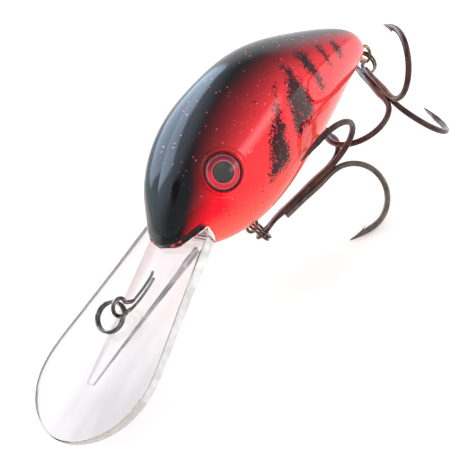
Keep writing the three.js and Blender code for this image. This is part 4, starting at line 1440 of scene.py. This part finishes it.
def world_light():
    """Soft studio sky for reflections and refraction, even white light for the rest."""
    world = bpy.data.worlds.new("studio")
    bpy.context.scene.world = world
    net = Nodes(world, "ShaderNodeOutputWorld")
    view = net.out("TexCoord", output="Generated")

    def dot(vector):
        inputs = {0: view, 1: tuple(vector)}
        return net.out("VectorMath", inputs, "Value", operation="DOT_PRODUCT")

    def blob(azimuth, elevation, inner, outer):
        """1 inside a soft round patch of sky, sizes in degrees."""
        off, on = [math.cos(math.radians(size)) for size in (outer, inner)]
        return dot(direction(azimuth, elevation)).step(off, on)

    def panel(azimuth, elevation, wide, high, soft):
        """1 inside a soft rectangle of sky, wide and high in degrees."""
        centre = direction(azimuth, elevation)
        right = unit(np.cross([0, 0, 1], centre))
        ahead = dot(centre)

        def inside(axis, size):
            slope = net.math("DIVIDE", dot(axis), net.math("MAXIMUM", ahead, 0.05))
            edge = math.tan(math.radians(size))
            return net.math("ABSOLUTE", slope).step(off=edge + soft, on=edge - soft)

        across, upright = inside(right, wide), inside(np.cross(centre, right), high)
        return across * upright * net.math("GREATER_THAN", ahead, 0.05)

    def sky(stops):
        return net.ramp(net.math("MULTIPLY_ADD", z, 0.5, 0.5), stops)

    z = net.xyz(view)[2]
    colour = sky(SKY)
    colour = net.mix(blob(azimuth=-72, elevation=40, inner=18, outer=58),
                     colour, (1.15, 1.38, 1.62))
    colour = net.mix(blob(azimuth=-145, elevation=10, inner=24, outer=48),
                     colour, (1.25, 1.27, 1.32))
    colour = net.mix(panel(azimuth=-92, elevation=36, wide=30, high=18, soft=0.07),
                     colour, (3.0, 3.8, 4.8))
    colour = net.mix(panel(azimuth=117, elevation=9, wide=22, high=4.5, soft=0.09),
                     colour, (3.4, 3.3, 3.4))
    colour = net.mix(blob(azimuth=-5, elevation=33, inner=8, outer=17),
                     colour, (0.06, 0.06, 0.07))
    colour = net.mix(panel(azimuth=-27, elevation=29, wide=1.0, high=9, soft=0.02),
                     colour, (1.6, 1.7, 1.8))
    glossy, transmission = net.outs("LightPath", ("Is Glossy Ray", "Is Transmission Ray"))
    colour = net.mix(transmission, colour, sky(SKY_THROUGH_CLEAR))
    studio = net.out("Background", {"Color": colour, "Strength": 1.0})
    even = net.out("Background", {"Color": (1, 1, 1), "Strength": 1.28})
    seen = net.math("MAXIMUM", glossy, transmission)
    net.finish(net.mix_shader(seen, even, studio))


world_light()


# ---------------------------------------------------------------- light and camera
def key_light():
    middle = (np.array(cad_low) + np.array(cad_high)) / 2
    position = middle + direction(azimuth=-80, elevation=50) * 0.55
    light = bpy.data.lights.new("soft_key", "AREA")
    light.size = 0.45
    light.energy = 0.8
    light.color = (0.96, 0.98, 1.0)
    key = make_object("soft_key", light)
    key.location = Vector(position)
    key.rotation_mode = "QUATERNION"
    key.rotation_quaternion = (Vector(position) - Vector(middle)).to_track_quat("Z", "Y")
    key.visible_glossy = False


def build_camera():
    data = bpy.data.cameras.new("camera")
    camera = make_object("camera", data)
    data.sensor_width = 36.0
    data.lens = 67.52
    data.clip_start = 0.005
    data.clip_end = 20.0
    right = unit([0.7051, 0.6302, -0.3249])
    upward = unit([-0.1043, 0.5454, 0.8316])
    backward = unit([0.7013, -0.5525, 0.4504])
    position = to_frame([108.70, -70.79, 58.17])
    rows = np.column_stack([right, upward, backward, position]).tolist()
    camera.matrix_world = Matrix(rows + [[0, 0, 0, 1]])
    bpy.context.scene.camera = camera


key_light()
build_camera()
bpy.context.scene.view_settings.view_transform = "Standard"
